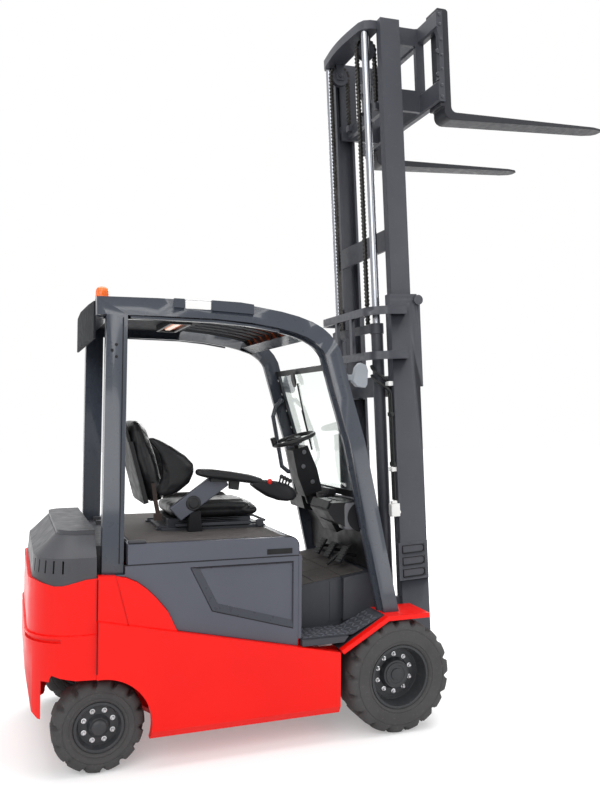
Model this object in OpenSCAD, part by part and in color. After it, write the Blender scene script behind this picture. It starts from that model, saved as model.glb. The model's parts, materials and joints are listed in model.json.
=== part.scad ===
// Battery counterbalance forklift truck, mast raised
// Millimetres, +X forward, +Y left, +Z up; modules are drawn from the front axle and moved at the end

/* [Chassis] */
// Distance between the axles
wheelbase = 1530; // [1450:5:1650]
// Half width over the red side panels
body_half = 600; // [560:5:640]
// Rear end of the counterweight behind the rear axle
rear_overhang = 325; // [300:5:400]
// Height of the skirt's lower edge
skirt_z = 145; // [100:5:180]
// Height of the counterweight's upper edge
weight_top = 905; // [880:5:930]
// Height of the seat deck
deck_z = 1050; // [1030:5:1100]
// Front edge of the seat deck behind the front axle
deck_front = 560; // [520:5:620]
// Height of the driver's floor at the seat deck
floor_z = 740; // [700:5:760]
// Height of the step
step_z = 530; // [510:5:560]

/* [Wheels] */
// Radius of a front tyre at its lugs
front_r = 293; // [280:1:296]
// Width of a front tyre
front_w = 225; // [180:5:230]
// Distance between the front tyres' middles
front_track = 1010; // [1005:5:1060]
// Radius of a rear tyre at its lugs
rear_r = 212; // [205:1:230]
// Width of a rear tyre
rear_w = 166; // [140:2:180]
// Distance between the rear tyres' middles
rear_track = 950; // [900:5:980]
// Kingpin to the middle of a rear tyre
king_offset = 100; // [95:1:130]
// Lugs round a front tyre
front_lugs = 18; // [12:1:24]
// Lugs round a rear tyre
rear_lugs = 14; // [12:1:24]

/* [Overhead guard] */
// Height of the roof
roof_z = 2215; // [2150:5:2300]
// Depth of a guard rail seen from the side
rail_depth = 85; // [60:5:95]
// Inner face of a guard rail from the middle
rail_in = 465; // [450:5:480]
// Outer face of a guard rail from the middle
rail_out = 535; // [500:5:545]

/* [Mast] */
// Backward tilt of the mast as shown
mast_tilt = 3; // [0:0.1:5]
// Pivot ahead of the front axle
pivot_x = 130; // [120:5:150]
// Pivot above the floor
pivot_z = 290; // [280:5:300]
// Top of the outer mast above the pivot
outer_top = 2054; // [1950:2:2150]
// Bottom of the outer mast below the pivot
outer_low = 180; // [150:5:220]
// Outer face of the outer channels from the middle
outer_half = 380; // [366:1:384]
// Top of the raised inner mast above the pivot
inner_top = 3619; // [3500:1:3700]
// Length of the inner mast
inner_len = 2150; // [2000:5:2200]
// Lift stroke of the inner mast
lift_stroke = 1646; // [1500:1:1700]

/* [Forks] */
// Upper face of the raised blades above the pivot
fork_top = 3068; // [3000:1:3090]
// Front face of the shanks ahead of the pivot
shank_u = 400; // [380:1:440]
// Length of a blade
fork_len = 1090; // [900:5:1300]
// Width of a blade
fork_w = 125; // [100:5:150]
// Thickness of a blade at its heel
fork_t = 45; // [35:1:50]
// Outer side of a fork from the middle
fork_out = 490; // [420:5:500]

/* [Hidden] */
$fn = 48;
// Clearance between pieces that seat on each other
fit = 0.3;
rear_x = -wheelbase;
rear_end = wheelbase + rear_overhang;
seam_x = rear_x - 18;
sill_x = -front_r - 46;
sill_top = front_r + 159;
crease_top = weight_top - 193;
wall_in = body_half - 52;
bay_rear = rear_x + 300;
bay_top = deck_z - 110;
deck_x = -deck_front;
lid_z = deck_z - 95;
panel_out = body_half - 28;
hinge_x = rear_x + 118;
hinge_z = deck_z + 2;
king_y = rear_track / 2 - king_offset;
arch_r = rear_r + 24;
well_r = 297;
corner_r = 230;
well_z = rear_r + arch_r;
axle_seat = rear_r + 114;
floor_x = deck_x + 14;
floor_front = -24;
floor_rise = 80;
floor_side = outer_half - 14;
fender_in = outer_half + 12;
fender_out = front_track / 2 + front_w / 2 - 3.5;
strip_in = fender_out - 38;
wheel_c = [-383, 0, deck_z + 470];
wheel_lean = 18;
// Middle of the steering wheel's rim
ring_r = 120;
tip_t = 12;
tip_u = shank_u + fork_len;
tip_x = pivot_x + tip_u * cos(mast_tilt) - (fork_top - tip_t) * sin(mast_tilt);
mid_x = (tip_x - rear_end) / 2;
car_u = shank_u - fork_t;
tilt_a = [deck_x + 130, step_z - 50];
tilt_e_u = -25;
tilt_e_w = 330;
tilt_e = [
  pivot_x + tilt_e_u * cos(mast_tilt) - tilt_e_w * sin(mast_tilt),
  pivot_z + tilt_e_u * sin(mast_tilt) + tilt_e_w * cos(mast_tilt)
];
tilt_d = tilt_e - tilt_a;
tilt_len = norm(tilt_d);
tilt_ang = atan2(tilt_d[1], tilt_d[0]);
tilt_y = outer_half - 65;
rod_u = -11;
rod_v = outer_half - 121;
chain_v = rod_v - 69;
chain_w = 24;
sheave_r = 48;
sheave_u = 24;
sheave_w = inner_top - 121;
head_low = inner_top - 49;
barrel_top = head_low - lift_stroke - 24;
inner_low = inner_top - inner_len;

function arc(cx, cz, r, a0, a1, n) =
  [for (i = [0:n]) [cx + r * cos(a0 + (a1 - a0) * i / n), cz + r * sin(a0 + (a1 - a0) * i / n)]];
function rev(p) = [for (i = [len(p) - 1:-1:0]) p[i]];
function unit(v) = v / norm(v);
function dirs(p, i) = unit(p[min(i + 1, len(p) - 1)] - p[max(i - 1, 0)]);
function seg(p, i) = unit(p[i + 1] - p[i]);
function miter(p, i) =
  i == 0 || i == len(p) - 1 ? 1 : 1 / cos(acos(min(1, seg(p, i - 1) * seg(p, i))) / 2);
function shifted(p, d) =
  [for (i = [0:len(p) - 1]) p[i] + d * miter(p, i) * [-dirs(p, i)[1], dirs(p, i)[0]]];
function ribbon(p, a, b) = concat(shifted(p, a), rev(shifted(p, b)));
function flipped(p) = [for (i = [len(p) - 1:-1:0]) [p[i][0], -p[i][1]]];
function crease_z(x) = crease_top + (x - seam_x) * (sill_top - crease_top) / (sill_x - seam_x);
function floor_at(x) = floor_z + (x - floor_x) * floor_rise / (floor_front - floor_x);
// Outline in plan of a rear piece: half width, rear end, corner radius and front
function rear_plan(half, back, r, front) = concat(
  [[front, -half], [front, half]], arc(back + r, half - r, r, 90, 180, 12), arc(back + r, r - half, r, 180,
  270, 12)
);

// Curved front edge of the red fin beside the battery, from the crease to the post
fin_edge = concat([[seam_x + 370, crease_z(seam_x + 370)]],
  [for (p = [[323, 175], [272, 112], [226, 65], [178, 28], [128, 5], [77, -6]]) [seam_x + p[0],
    weight_top - p[1]]]);
// Edge between the counterweight and its cover, dipping beside the rear corner
cover_edge = [for (p = [[0, 0], [52, 3], [105, 16], [150, 28], [190, 30], [232, 20], [270, 8], [330, 2]])
  [seam_x - fit - p[0], weight_top - p[1]]];
// Line of the front fender from the sill over the wheel
fender = [[sill_x - 1, sill_top + 15], [-79, front_r + 323], [167, front_r + 324]];
// Upper and front edge of a guard rail, from the roof's rear to the fender
guard_edge = [
  [rear_x - 34, roof_z - 7], [rear_x + 250, roof_z], [-996, roof_z], [-800, roof_z - 11], [-650, roof_z - 31],
  [-560, roof_z - 50], [-481, roof_z - 75], [-425, roof_z - 103], [-385, roof_z - 134], [-350, roof_z - 172],
  [-323, roof_z - 218], [-255, 1765], [-181, 1529], [-73, 1052], [34, 572]
];

module place() translate([-mid_x, 0, 0]) children();
module pair() {
  children();
  mirror([0, 1, 0]) children();
}
module mast() translate([pivot_x, 0, pivot_z]) rotate([0, -mast_tilt, 0]) children();
module prism_x(p, x0, x1) translate([x0, 0, 0]) rotate([90, 0, 90]) linear_extrude(x1 - x0) polygon(p);
module prism_y(p, y0, y1) translate([0, y1, 0]) rotate([90, 0, 0]) linear_extrude(y1 - y0) polygon(p);
module prism_z(p, z0, z1) translate([0, 0, z0]) linear_extrude(z1 - z0) polygon(p);
module box(x0, x1, y0, y1, z0, z1) translate([x0, y0, z0]) cube([x1 - x0, y1 - y0, z1 - z0]);
module rod_y(x, z, r, y0, y1) translate([x, y0, z]) rotate([-90, 0, 0]) cylinder(r = r, h = y1 - y0);
module rod_z(x, y, r, z0, z1) translate([x, y, z0]) cylinder(r = r, h = z1 - z0);
module bar(a, b, r) {
  d = b - a;
  translate(a) rotate([0, acos(d[2] / norm(d)), atan2(d[1], d[0])]) cylinder(r = r, h = norm(d));
}
module tube(p, r) {
  for (i = [0:len(p) - 2]) bar(p[i], p[i + 1], r);
  for (i = [1:len(p) - 2]) translate(p[i]) sphere(r = r + 0.5);
}
module turned(x, y, z) translate([x, y, z]) rotate([-90, 0, 0]) rotate_extrude() children();

// Space for the steered rear wheels; walls beyond reach are cut by the round arch alone
module wells(reach) {
  pair() intersection() {
    rod_z(rear_x, king_y, well_r, 0, well_z);
    box(rear_x - 2 * well_r, rear_x + 2 * well_r, 0, reach, 0, well_z);
  }
  rod_y(rear_x, rear_r, arch_r, -body_half - 100, body_half + 100);
}

module frame() color("#e8401c") place() {
  difference() {
    union() {
      pair() intersection() {
        prism_y([[sill_x, skirt_z], [sill_x, sill_top], [seam_x, crease_top], [seam_x, skirt_z]], wall_in,
          body_half);
        prism_x([[0, skirt_z], [body_half - 20, skirt_z], [body_half, skirt_z + 36], [body_half, deck_z],
          [0, deck_z]],
          seam_x - 1, sill_x + 1);
      }
      pair() prism_y(concat([[seam_x, crease_top]], fin_edge, [[seam_x, weight_top + 11]]), wall_in,
        body_half - 12);
      box(seam_x, sill_x, -wall_in, wall_in, skirt_z, skirt_z + 20);
      box(bay_rear, bay_rear + 13, -wall_in, wall_in, skirt_z, bay_top);
      box(deck_x - 3, deck_x + 12, -wall_in, wall_in, skirt_z, bay_top);
      box(seam_x, bay_rear, -wall_in, wall_in, well_z, well_z + 20);
      box(seam_x, rear_x + 70, -70, 70, axle_seat, well_z + 1);
      pair() box(rear_x, rear_x + 105, rail_in - 5, max(wall_in, rail_out + 13), well_z + 19,
        weight_top - 10);
      pair() box(sill_x - 6, sill_x + 109, floor_side - 66, floor_side, pivot_z + 40, pivot_z + 130);
      pair() box(deck_x + 11, sill_x - 6, floor_side - 66, floor_side, skirt_z + 19, pivot_z + 130);
      pair() box(deck_x + 11, deck_x + 160, floor_side - 16, floor_side, pivot_z + 129, step_z - 30 - fit);
    }
    difference() {
      wells(wall_in);
      box(seam_x - 1, rear_x + 71, -70, 70, axle_seat, well_z + 2);
    }
    pair() prism_y(ribbon([[seam_x + 76, weight_top + 20], [seam_x + 141, crease_z(seam_x + 141) - 2]], -3,
      3),
      body_half - 20, body_half);
  }
  pair() rod_y(tilt_a[0], tilt_a[1], 14, tilt_y - 17, tilt_y + 37);
}

module counterweight() color("#e8401c") place() difference() {
  union() {
    intersection() {
      union() {
        prism_z(rear_plan(body_half - 10, -rear_end, corner_r, seam_x - fit), 200, 652);
        prism_z(rear_plan(body_half - 18, 9 - rear_end, corner_r - 4, seam_x - fit), 640, weight_top + 5);
      }
      prism_y(concat(
        [[seam_x - fit, well_z], [rear_x - 110, well_z + 4], [rear_x - 180, well_z + 18], [rear_x - 214,
        well_z + 30]],
        [[102 - rear_end, well_z + 12], [102 - rear_end, 290], [96 - rear_end, 276], [55 - rear_end, 276]],
        [[29 - rear_end, 300], [-rear_end, 470], [-rear_end, 780], [13 - rear_end, 850]], rev(cover_edge)
      ), -body_half, body_half);
    }
    prism_y([[rear_x - 112, well_z - 4], [155 - rear_end, 276], [96 - rear_end, 276], [96 - rear_end,
      well_z + 60],
      [rear_x - 112, well_z + 60]], -150, 150);
  }
  wells(body_half + 100);
  box(rear_x - 111, seam_x + 8, -body_half, body_half, 200, well_z);
  box(-rear_end - 45, 120 - rear_end, -85, 85, 390, 480);
  rod_z(73 - rear_end, 0, 15, 250, 540);
  // Groove round the rear between the lower and the upper half
  difference() {
    box(-rear_end - 10, 150 - rear_end, -body_half, body_half, 622, 640);
    prism_z(rear_plan(body_half - 22, 12 - rear_end, corner_r - 8, seam_x), 600, 660);
  }
}

// Slope of the cover between two heights, each with its inset from the red body
module cover_slope(low, inset_low, high, inset_high) hull() {
  prism_z(rear_plan(body_half - inset_low, inset_low - rear_end, corner_r - inset_low, seam_x - 4), low,
    low + 1);
  prism_z(rear_plan(body_half - inset_high, inset_high - rear_end, corner_r - inset_high, seam_x - 4),
    high - 1, high);
}
// Upright lower part with air slots at its corners, the shoulder and the lid above it
module counterweight_cover() color("#3b4046") place() {
  difference() {
    intersection() {
      cover_slope(weight_top - 40, 22, weight_top + 94, 34);
      prism_y(concat(cover_edge, [[seam_x - 330, weight_top + 95], [seam_x - 4, weight_top + 95]],
        [[seam_x - 4, weight_top + 1]]), -body_half, body_half);
    }
    pair() for (k = [0:4]) translate([corner_r - rear_end, body_half - corner_r, weight_top + 22])
      rotate([0, 0, 112 + k * 13]) translate([corner_r - 54, -4, 0]) rotate([0, -5, 0]) cube([60, 8, 58]);
  }
  cover_slope(weight_top + 93, 36, weight_top + 185, 130);
  prism_z(rear_plan(body_half - 134, 134 - rear_end, corner_r - 134, seam_x - 4), weight_top + 184,
    weight_top + 207);
  box(seam_x, rear_x + 106, 7 - rail_in, rail_in - 7, weight_top - 10, deck_z - 15);
  box(seam_x - 5, seam_x + 1, 7 - rail_in, rail_in - 7, weight_top, deck_z - 15);
  pair() for (y = [250, 412]) {
    box(rear_x + 60, hinge_x - 6, y, y + 40, deck_z - 16, deck_z + 8);
    rod_y(hinge_x, hinge_z, 10, y, y + 40);
  }
}

module battery() color("#55585c") place()
  box(bay_rear + 15, deck_x - 5, 86 - body_half, body_half - 86, skirt_z + 20 + fit, bay_top - 2);

module side_panels() color("#454b54") place() pair() difference() {
  prism_y(concat([[deck_x - 2, lid_z - fit], [deck_x - 2, crease_z(deck_x - 2)]], fin_edge,
    [[rear_x + 106, weight_top + 6], [rear_x + 106, lid_z - fit]]), panel_out - 22, panel_out);
  prism_y([[deck_x - 555, lid_z - 30], [deck_x - 447, crease_z(deck_x - 447) + 115], [deck_x - 30,
    crease_z(deck_x - 30) + 86],
    [deck_x - 30, lid_z - 30]], panel_out - 10, body_half);
}

module hood() color("#454b54") place() difference() {
  union() {
    difference() {
      prism_y(concat([[hinge_x, lid_z], [deck_x, lid_z]], arc(deck_x - 50, deck_z - 50, 50, 0, 90, 8),
        [[hinge_x, deck_z]]),
        -panel_out, panel_out);
      prism_y(concat([[hinge_x + 14, lid_z - 5], [deck_x - 14, lid_z - 5]], arc(deck_x - 50, deck_z - 50,
        36, 0, 90, 8),
        [[hinge_x + 14, deck_z - 14]]), 14 - panel_out, panel_out - 14);
    }
    pair() rod_y(hinge_x, hinge_z, 10, 292, 410);
  }
  pair() box(deck_x - 168, deck_x - 39, panel_out - 6, body_half, lid_z + 17, lid_z + 33);
  pair() for (y = [249, 411]) rod_y(hinge_x, hinge_z, 12, y, y + 42);
}

module floor_pan() color("#26282b") place() {
  top = floor_at(floor_front);
  prism_y([[floor_x, floor_z - 15], [floor_x, floor_z], [floor_front, top], [floor_front, top - 15]],
    -floor_side, floor_side);
  pair() prism_y([[floor_x, step_z - 24], [floor_x, floor_z - 1], [-240, floor_at(-240) - 1], [-240,
    step_z - 24]],
    floor_side - 14, floor_side);
  pair() prism_y([[floor_x, step_z - 30], [floor_x, step_z], [-292, step_z], [-318, step_z - 30]],
    floor_side - 14, body_half - 10);
  pair() prism_y([fender[0], fender[1], fender[1] + [0, -9], fender[0] + [4, -7]], fender_in, strip_in);
  pair() prism_y([[-240, step_z + 31], [-240, floor_at(-240) - 10], [floor_front, top - 10],
    [floor_front, fender[2][1] + fit], fender[1] + [fit, 0], fender[1] + [-76, -43]], fender_in,
    fender_in + 12);
  pair() prism_y([[-240, floor_at(-240) - 14], [-240, floor_at(-240) - 1], [floor_front, top - 1],
    [floor_front, top - 14]],
    floor_side - 14, fender_in + 12);
}

// Narrow strip up the step's side and the full-width top over the wheel
module mudguards() color("#e8401c") place() pair() {
  prism_y(ribbon(fender, 0, -24), strip_in, fender_out);
  prism_y(ribbon([fender[1] + [fit, 0], fender[2]], 0, -24), fender_in, strip_in + 1);
}

module dash() color("#33373c") place() {
  base = floor_at(floor_front) + fit;
  prism_y([[floor_front, base], [-114, 1195], [-175, 1199], [-165, 1130], [-100, 1000], [-84, base]], -440,
    440);
  prism_y([[-138, 1195], [-225, 1199], [-238, 1130], [-150, 983], [-96, 1000]], -100, 100);
  prism_y([[-130, 1035], [-92, 1060], [-96, 1110], [-112, 1186], [-170, 1198], [-330, 1194], [-348, 1150],
    [-310, 1095], [-215, 1050]],
    -440, -180);
  prism_y([[-110, 1060], [-112, 1190], [-200, 1196], [-262, 1170], [-240, 1090]], 190, 430);
  // Round end of the right module
  rod_y(-160, 1118, 80, -452, -430);
}

module windshield() color("#9fb4b8") place()
  prism_y(ribbon([[-109.5, 1213], [-181, 1529], [-255, 1765], [-308, 1946]], 28, 34), -rail_in, rail_in);

module overhead_guard() color("#1d2024") place() {
  foot = fender[2][1] + fit;
  pair() difference() {
    union() {
      prism_y(ribbon(guard_edge, 0, -rail_depth), rail_in, rail_out);
      prism_y(ribbon(guard_edge, 1 - rail_depth, -rail_depth - 14), rail_in, rail_in + 22);
    }
    box(-200, 200, rail_in - 50, rail_out + 50, foot - 200, foot);
    box(rear_x - 100, rear_x + 4, rail_in - 50, rail_out + 50, 0, roof_z - 98);
  }
  pair() prism_y([[rear_x + 4, weight_top - 10], [rear_x + 103, weight_top - 10], [rear_x + 110, roof_z - 80],
    [rear_x + 12, roof_z - 80]], rail_in, rail_out);
  box(rear_x - 30, rear_x + 50, -rail_in, rail_in, roof_z - 85, roof_z - 20);
  prism_y(ribbon([[-555, roof_z - 84.1], [-480, roof_z - 115.9]], -16.3, -56), -rail_in, rail_in);
  // Clamp and sleeve on the rail
  pair() box(-1202, -1150, rail_in + 20, rail_out + 4, roof_z - 40, roof_z + 4);
  pair() prism_y([[-1015, roof_z - 45], [-1015, roof_z + 5], [-870, roof_z + 3], [-800, roof_z - 4], [-800,
    roof_z - 52]],
    rail_in + 20, rail_out + 5);
}

module roof_panel() color("#24282d") place() {
  box(rear_x + 50, -960, -rail_in, rail_in, roof_z - 52, roof_z - 30);
  for (i = [-3:4]) translate([0, (i - 0.5) * 114, 0])
    prism_y(ribbon([[-962, roof_z - 30], [-800, roof_z - 42], [-650, roof_z - 62], [-560, roof_z - 82],
      [-475, roof_z - 118]],
      0, -16), -38, 38);
  prism_z([[rear_x - 30.3, -460], [rear_x - 30.3, 460], [rear_x - 40, 460], [rear_x - 52, 300],
    [rear_x - 62, 0],
    [rear_x - 52, -300], [rear_x - 40, -460]], roof_z - 198, roof_z - 20);
}

// Warning lamp on the roof and the reading lamp under it
module beacon() color("#e07818") place() {
  translate([rear_x + 6, -395, roof_z - 20]) rotate_extrude()
    polygon(concat([[0, 0], [34, 0], [34, 20], [28, 20]], [for (a = [0:15:90]) [28 * cos(a),
      56 + 28 * sin(a)]]));
  box(-1160, -1045, -240, 180, roof_z - 84, roof_z - 52);
}

module on_deck() translate([deck_x, 0, deck_z]) children();

module seat_base() color("#1f2124") place() on_deck() {
  box(-630, -70, -215, 215, 0, 18);
  box(-590, -140, -185, 185, 18, 62);
  pair() box(-640, -60, 150, 176, 0, 26);
}

module seat_cushion() color("#1a1b1d") place() on_deck() {
  prism_y(concat([[-590, 62], [-130, 62]], arc(-130, 100, 38, -60, 90, 8), [[-590, 138]]), -250, 250);
  pair() prism_y(concat([[-560, 138], [-140, 138]], arc(-180, 130, 32, 20, 90, 4), [[-560, 165]]), 190, 248);
}

// Back cushion, wider at the middle, its side bolsters and the shell behind it
module seat_back() color("#1a1b1d") place() on_deck() {
  intersection() {
    prism_y(concat([[-590, 138 + fit], [-702, 138 + fit]], [[-802, 510]], arc(-755, 540, 50, 190, 20, 8),
      [[-665, 390]]), -250, 250);
    prism_x([[-190, 100], [-245, 240], [-245, 380], [-205, 540], [-160, 600], [160, 600], [205, 540], [245,
      380], [245, 240], [190, 100]],
      -900, -500);
  }
  pair() prism_y([[-640, 170], [-560, 175], [-500, 215], [-452, 290], [-447, 330], [-470, 380], [-520, 430],
    [-600, 480], [-665, 505], [-700, 500]], 175, 246);
  prism_y(ribbon([[-701, 142], [-803, 520], [-822, 570]], -1, 15), -165, 165);
}

module armrest() color("#202327") place() on_deck() {
  prism_y([[-509, 50], [-425, 50], [-285, 212], [-307, 260], [-400, 260], [-500, 165]], -296, -262);
  prism_y([[-486, 275], [-480, 318], [-90, 252], [40, 232], [90, 212], [103, 175], [60, 160], [-20, 160],
    [-120, 205], [-340, 240]],
    -385, -296);
  rod_y(-457, 149, 34, -302, -250);
  box(-509, -425, -296, -216, 0, 50);
}

module steering_column() color("#2a2d31") place() translate(wheel_c) rotate([0, -wheel_lean, 0]) {
  rod_z(0, 0, 34, -385, -250);
  rod_z(0, 0, 12, -60, -5);
  prism_y([[-46, -52], [50, -52], [66, -200], [58, -330], [-52, -330], [-60, -200]], -60, 60);
}

module steering_wheel() color("#17181a") place() translate(wheel_c) rotate([0, -wheel_lean, 0]) difference() {
  union() {
    rotate_extrude() translate([ring_r, 0]) circle(r = 12, $fn = 24);
    rod_z(0, 0, 44, -30, 8);
    for (a = [60, 180, 300]) rotate([0, 0, a]) translate([0, -14, -14]) cube([ring_r - 5, 28, 14]);
    rod_z(-ring_r, 0, 17, 0, 48);
  }
  rod_z(0, 0, 12.06, -61, -4.9);
}

module pedals() color("#2b2b2b") place() for (y = [-230, -60, 90]) translate([0, y, floor_at(-200)]) {
  prism_y([[-205, 45], [-150, 130], [-140, 124], [-195, 39]], -35, 35);
  bar([-165, 0, 88], [-90.8, 0, 78], 9);
}

module work_lights() color("#8a8f94") place() pair() {
  prism_y([[-262, 1838], [-236, 1812], [-192, 1806], [-180, 1822], [-176, 1898], [-186, 1926], [-222, 1938],
    [-244, 1912]], 520, 560);
  box(-278, -226, 500, 530, 1845, 1875);
}

module grab_handle() color("#1b1d20") place()
  tube([[-310, rail_in, 1752], [-310, rail_in - 35, 1752], [-348, rail_in - 35, 1716], [-366, rail_in - 35,
    1650],
    [-305, rail_in - 35, 1335], [-262, rail_in - 35, 1300], [-188, rail_in - 35, 1300], [-188, rail_in,
    1300]], 13);

module drive_axle() color("#2b2d30") place() {
  arm_y = outer_half - 96;
  rod_y(0, front_r, 70, -outer_half - 8, outer_half + 8);
  pair() rod_y(0, front_r, 32, outer_half, front_track / 2 - 35);
  box(-230, 45, -250, 250, front_r - 113, front_r + 127);
  pair() difference() {
    union() {
      box(-200, pivot_x, arm_y, arm_y + 28, pivot_z - 32, pivot_z + 32);
      rod_y(pivot_x, pivot_z, 36, arm_y, arm_y + 28);
    }
    rod_y(0, front_r, 60, arm_y - 4, arm_y + 36);
  }
  pair() rod_y(pivot_x, pivot_z, 24, arm_y, outer_half - 6);
  pair() box(sill_x - 6, -150, floor_side - 64, floor_side - 2, pivot_z - 28, pivot_z + 40);
  pair() box(-150, -40, 250, floor_side - 2, pivot_z - 28, pivot_z + 32);
}

// Tyre with lugs across its shoulders; each ring has its place, radius and groove depth
module tyre(r, w, ri, n) {
  lug = [0, 0.62, 0.68, 0.94];
  half = [[16 - w / 2, (ri + fit) / cos(112 / n), 0], [-w / 2, r - 62, 0], [9 - w / 2, r - 15, 18],
    [38 - w / 2, r, 22]];
  rings = concat(half, [[0, r, 0]], [for (q = rev(half)) [-q[0], q[1], q[2]]]);
  m = 4 * n;
  polyhedron(
    [for (q = rings, i = [0:m - 1]) let(a = (floor(i / 4) + lug[i % 4]) * 360 / n - 90,
      s = q[1] - (i % 4 > 1 ? q[2] : 0))
      [s * cos(a), q[0], s * sin(a)]],
    [for (k = [0:len(rings) - 1], i = [0:m - 1], t = [0, 1]) let(k2 = (k + 1) % len(rings), j = (i + 1) % m)
      t == 0 ? [k * m + i, k * m + j, k2 * m + j] : [k * m + i, k2 * m + j, k2 * m + i]]
  );
}
module rim(ri, w, disc, hub_r, hub_out, bore, side)
  rotate([0, 0, side > 0 ? 0 : 180]) turned(0, 0, 0) polygon([
    [bore, disc - 62], [hub_r, disc - 62], [hub_r, disc - 22], [ri - 14, disc - 22], [ri - 14, 12 - w / 2],
    [ri, 12 - w / 2],
    [ri, w / 2 - 12], [ri - 14, w / 2 - 12], [ri - 26, disc], [hub_r, disc], [hub_r - 10, hub_out], [0,
    hub_out],
    [0, hub_out - 14], [bore, hub_out - 14]
  ]);
module front_tyre() color("#2a2b2d") tyre(front_r, front_w, 165, front_lugs);
module front_rim(side) color("#3a3d42") rim(165, front_w, 20, 82, 52, 32.05, side);
module rear_tyre() color("#2a2b2d") tyre(rear_r, rear_w, 116, rear_lugs);
module rear_rim(side) color("#3a3d42") rim(116, rear_w, 36, 52, 66, 24.05, side);
module at_front(side) place() translate([0, side * front_track / 2, front_r]) children();
module at_rear(side) place() translate([rear_x, side * rear_track / 2, rear_r]) children();

module tyre_front_left() at_front(1) front_tyre();
module rim_front_left() at_front(1) front_rim(1);
module tyre_front_right() at_front(-1) front_tyre();
module rim_front_right() at_front(-1) front_rim(-1);
module tyre_rear_left() at_rear(1) rear_tyre();
module rim_rear_left() at_rear(1) rear_rim(1);
module tyre_rear_right() at_rear(-1) rear_tyre();
module rim_rear_right() at_rear(-1) rear_rim(-1);

module steer_axle() color("#2b2d30") place() difference() {
  union() {
    box(rear_x - 40, rear_x + 40, 90 - king_y, king_y - 90, rear_r - 68, rear_r + 68);
    pair() for (z = [rear_r - 68, rear_r + 42]) {
      box(rear_x - 30, rear_x + 30, king_y - 95, king_y, z, z + 26);
      rod_z(rear_x, king_y, 30, z, z + 26);
    }
    box(rear_x - 55, rear_x + 55, -62, 62, rear_r + 60, axle_seat);
  }
  pair() rod_z(rear_x, king_y, 16.05, rear_r - 126, rear_r + 174);
}
module knuckle() {
  rod_z(rear_x, king_y, 30, rear_r - 40, rear_r + 40);
  rod_z(rear_x, king_y, 16, rear_r - 70, rear_r + 70);
  rod_y(rear_x, rear_r, 24, king_y, king_y + king_offset + 48);
}
module knuckle_left() color("#2b2d30") place() knuckle();
module knuckle_right() color("#2b2d30") place() mirror([0, 1, 0]) knuckle();

module channel(u0, u1, v0, v1, w0, w1, web, fl) difference() {
  box(u0, u1, v0, v1, w0, w1);
  box(u0 + fl, u1 - fl, v0 - 1, v1 - web, w0 - 1, w1 + 1);
}
loop_half = [[110, outer_half + 10], [0, outer_half + 10], [-45, outer_half - 2], [-78, outer_half - 35],
  [-93, outer_half - 80],
  [-95, outer_half - 130]];
module outer_mast() color("#22262c") place() mast() {
  pair() difference() {
    union() {
      channel(20, 188, outer_half - 64, outer_half, -outer_low, outer_top, 16, 16);
      box(-20, 20.5, outer_half - 62, outer_half - 2, -38, 38);
      rod_y(0, 0, 36, outer_half - 62, outer_half - 2);
      box(-55, 20.5, outer_half - 40, outer_half - 14, tilt_e_w - 32, tilt_e_w + 32);
      box(-46, 20.5, rod_v - 37, outer_half - 50, 108, 138);
    }
    rod_y(0, 0, 24.06, outer_half - 80, outer_half + 20);
  }
  pair() rod_y(tilt_e_u, tilt_e_w, 14, tilt_y - 17, tilt_y + 27);
  box(-6, 20, -outer_half, outer_half, 10 - outer_low, 120 - outer_low);
  for (w = [outer_top - 364, outer_top - 114]) prism_z(ribbon(concat(loop_half, flipped(loop_half)), -10,
    10), w, w + 45);
  pair() box(-105, -85, 90, 122, outer_top - 319, outer_top - 114);
  pair() box(-85.5, -45, rod_v - 13, rod_v + 13, outer_top - 354, outer_top - 328);
  // Plate with three windows on the channel's side
  pair() difference() {
    box(4, 186, outer_half, outer_half + 8, 452, 662);
    for (k = [0:2]) box(24, 166, outer_half + 4, outer_half + 20, 468 + k * 66, 514 + k * 66);
  }
  pair() box(188, 206, outer_half - 30, outer_half, outer_top - 524, outer_top - 10);
  pair() rod_y(192, outer_top - 34, 28, outer_half - 30, outer_half + 12);
}
module lift_cylinders() color("#1d2024") place() mast() {
  pair() difference() {
    union() {
      rod_z(rod_u, rod_v, 34, 138, barrel_top);
      rod_z(rod_u, rod_v, 39, barrel_top - 60, barrel_top);
    }
    rod_z(rod_u, rod_v, 23, 165, barrel_top + 5);
  }
  box(-62, -48, 9 - rod_v, rod_v - 9, barrel_top - 55, barrel_top - 5);
  pair() box(-62, -40, rod_v - 23, rod_v + 3, barrel_top - 55, barrel_top - 5);
}

function ease(t) = t * t * (3 - 2 * t);
// Round hose along a line of points, drawn as one mesh
module hose(p, r) {
  n = 12;
  ring = [for (i = [0:len(p) - 1]) let(t = dirs(p, i), a = unit(cross(t, [1, 1, 0.3])), b = cross(t, a))
    each [for (k = [0:n - 1]) p[i] + r * (cos(k * 360 / n) * a + sin(k * 360 / n) * b)]];
  m = len(p) - 1;
  polyhedron(concat(ring, [p[0], p[m]]), concat(
    [for (i = [0:m - 1], k = [0:n - 1], s = [0, 1]) let(k2 = (k + 1) % n)
      s == 0 ? [i * n + k, (i + 1) * n + k2, i * n + k2] : [i * n + k, (i + 1) * n + k, (i + 1) * n + k2]],
    [for (k = [0:n - 1]) [len(ring), k, (k + 1) % n]],
    [for (k = [0:n - 1]) [len(ring) + 1, m * n + (k + 1) % n, m * n + k]]
  ));
}
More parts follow.
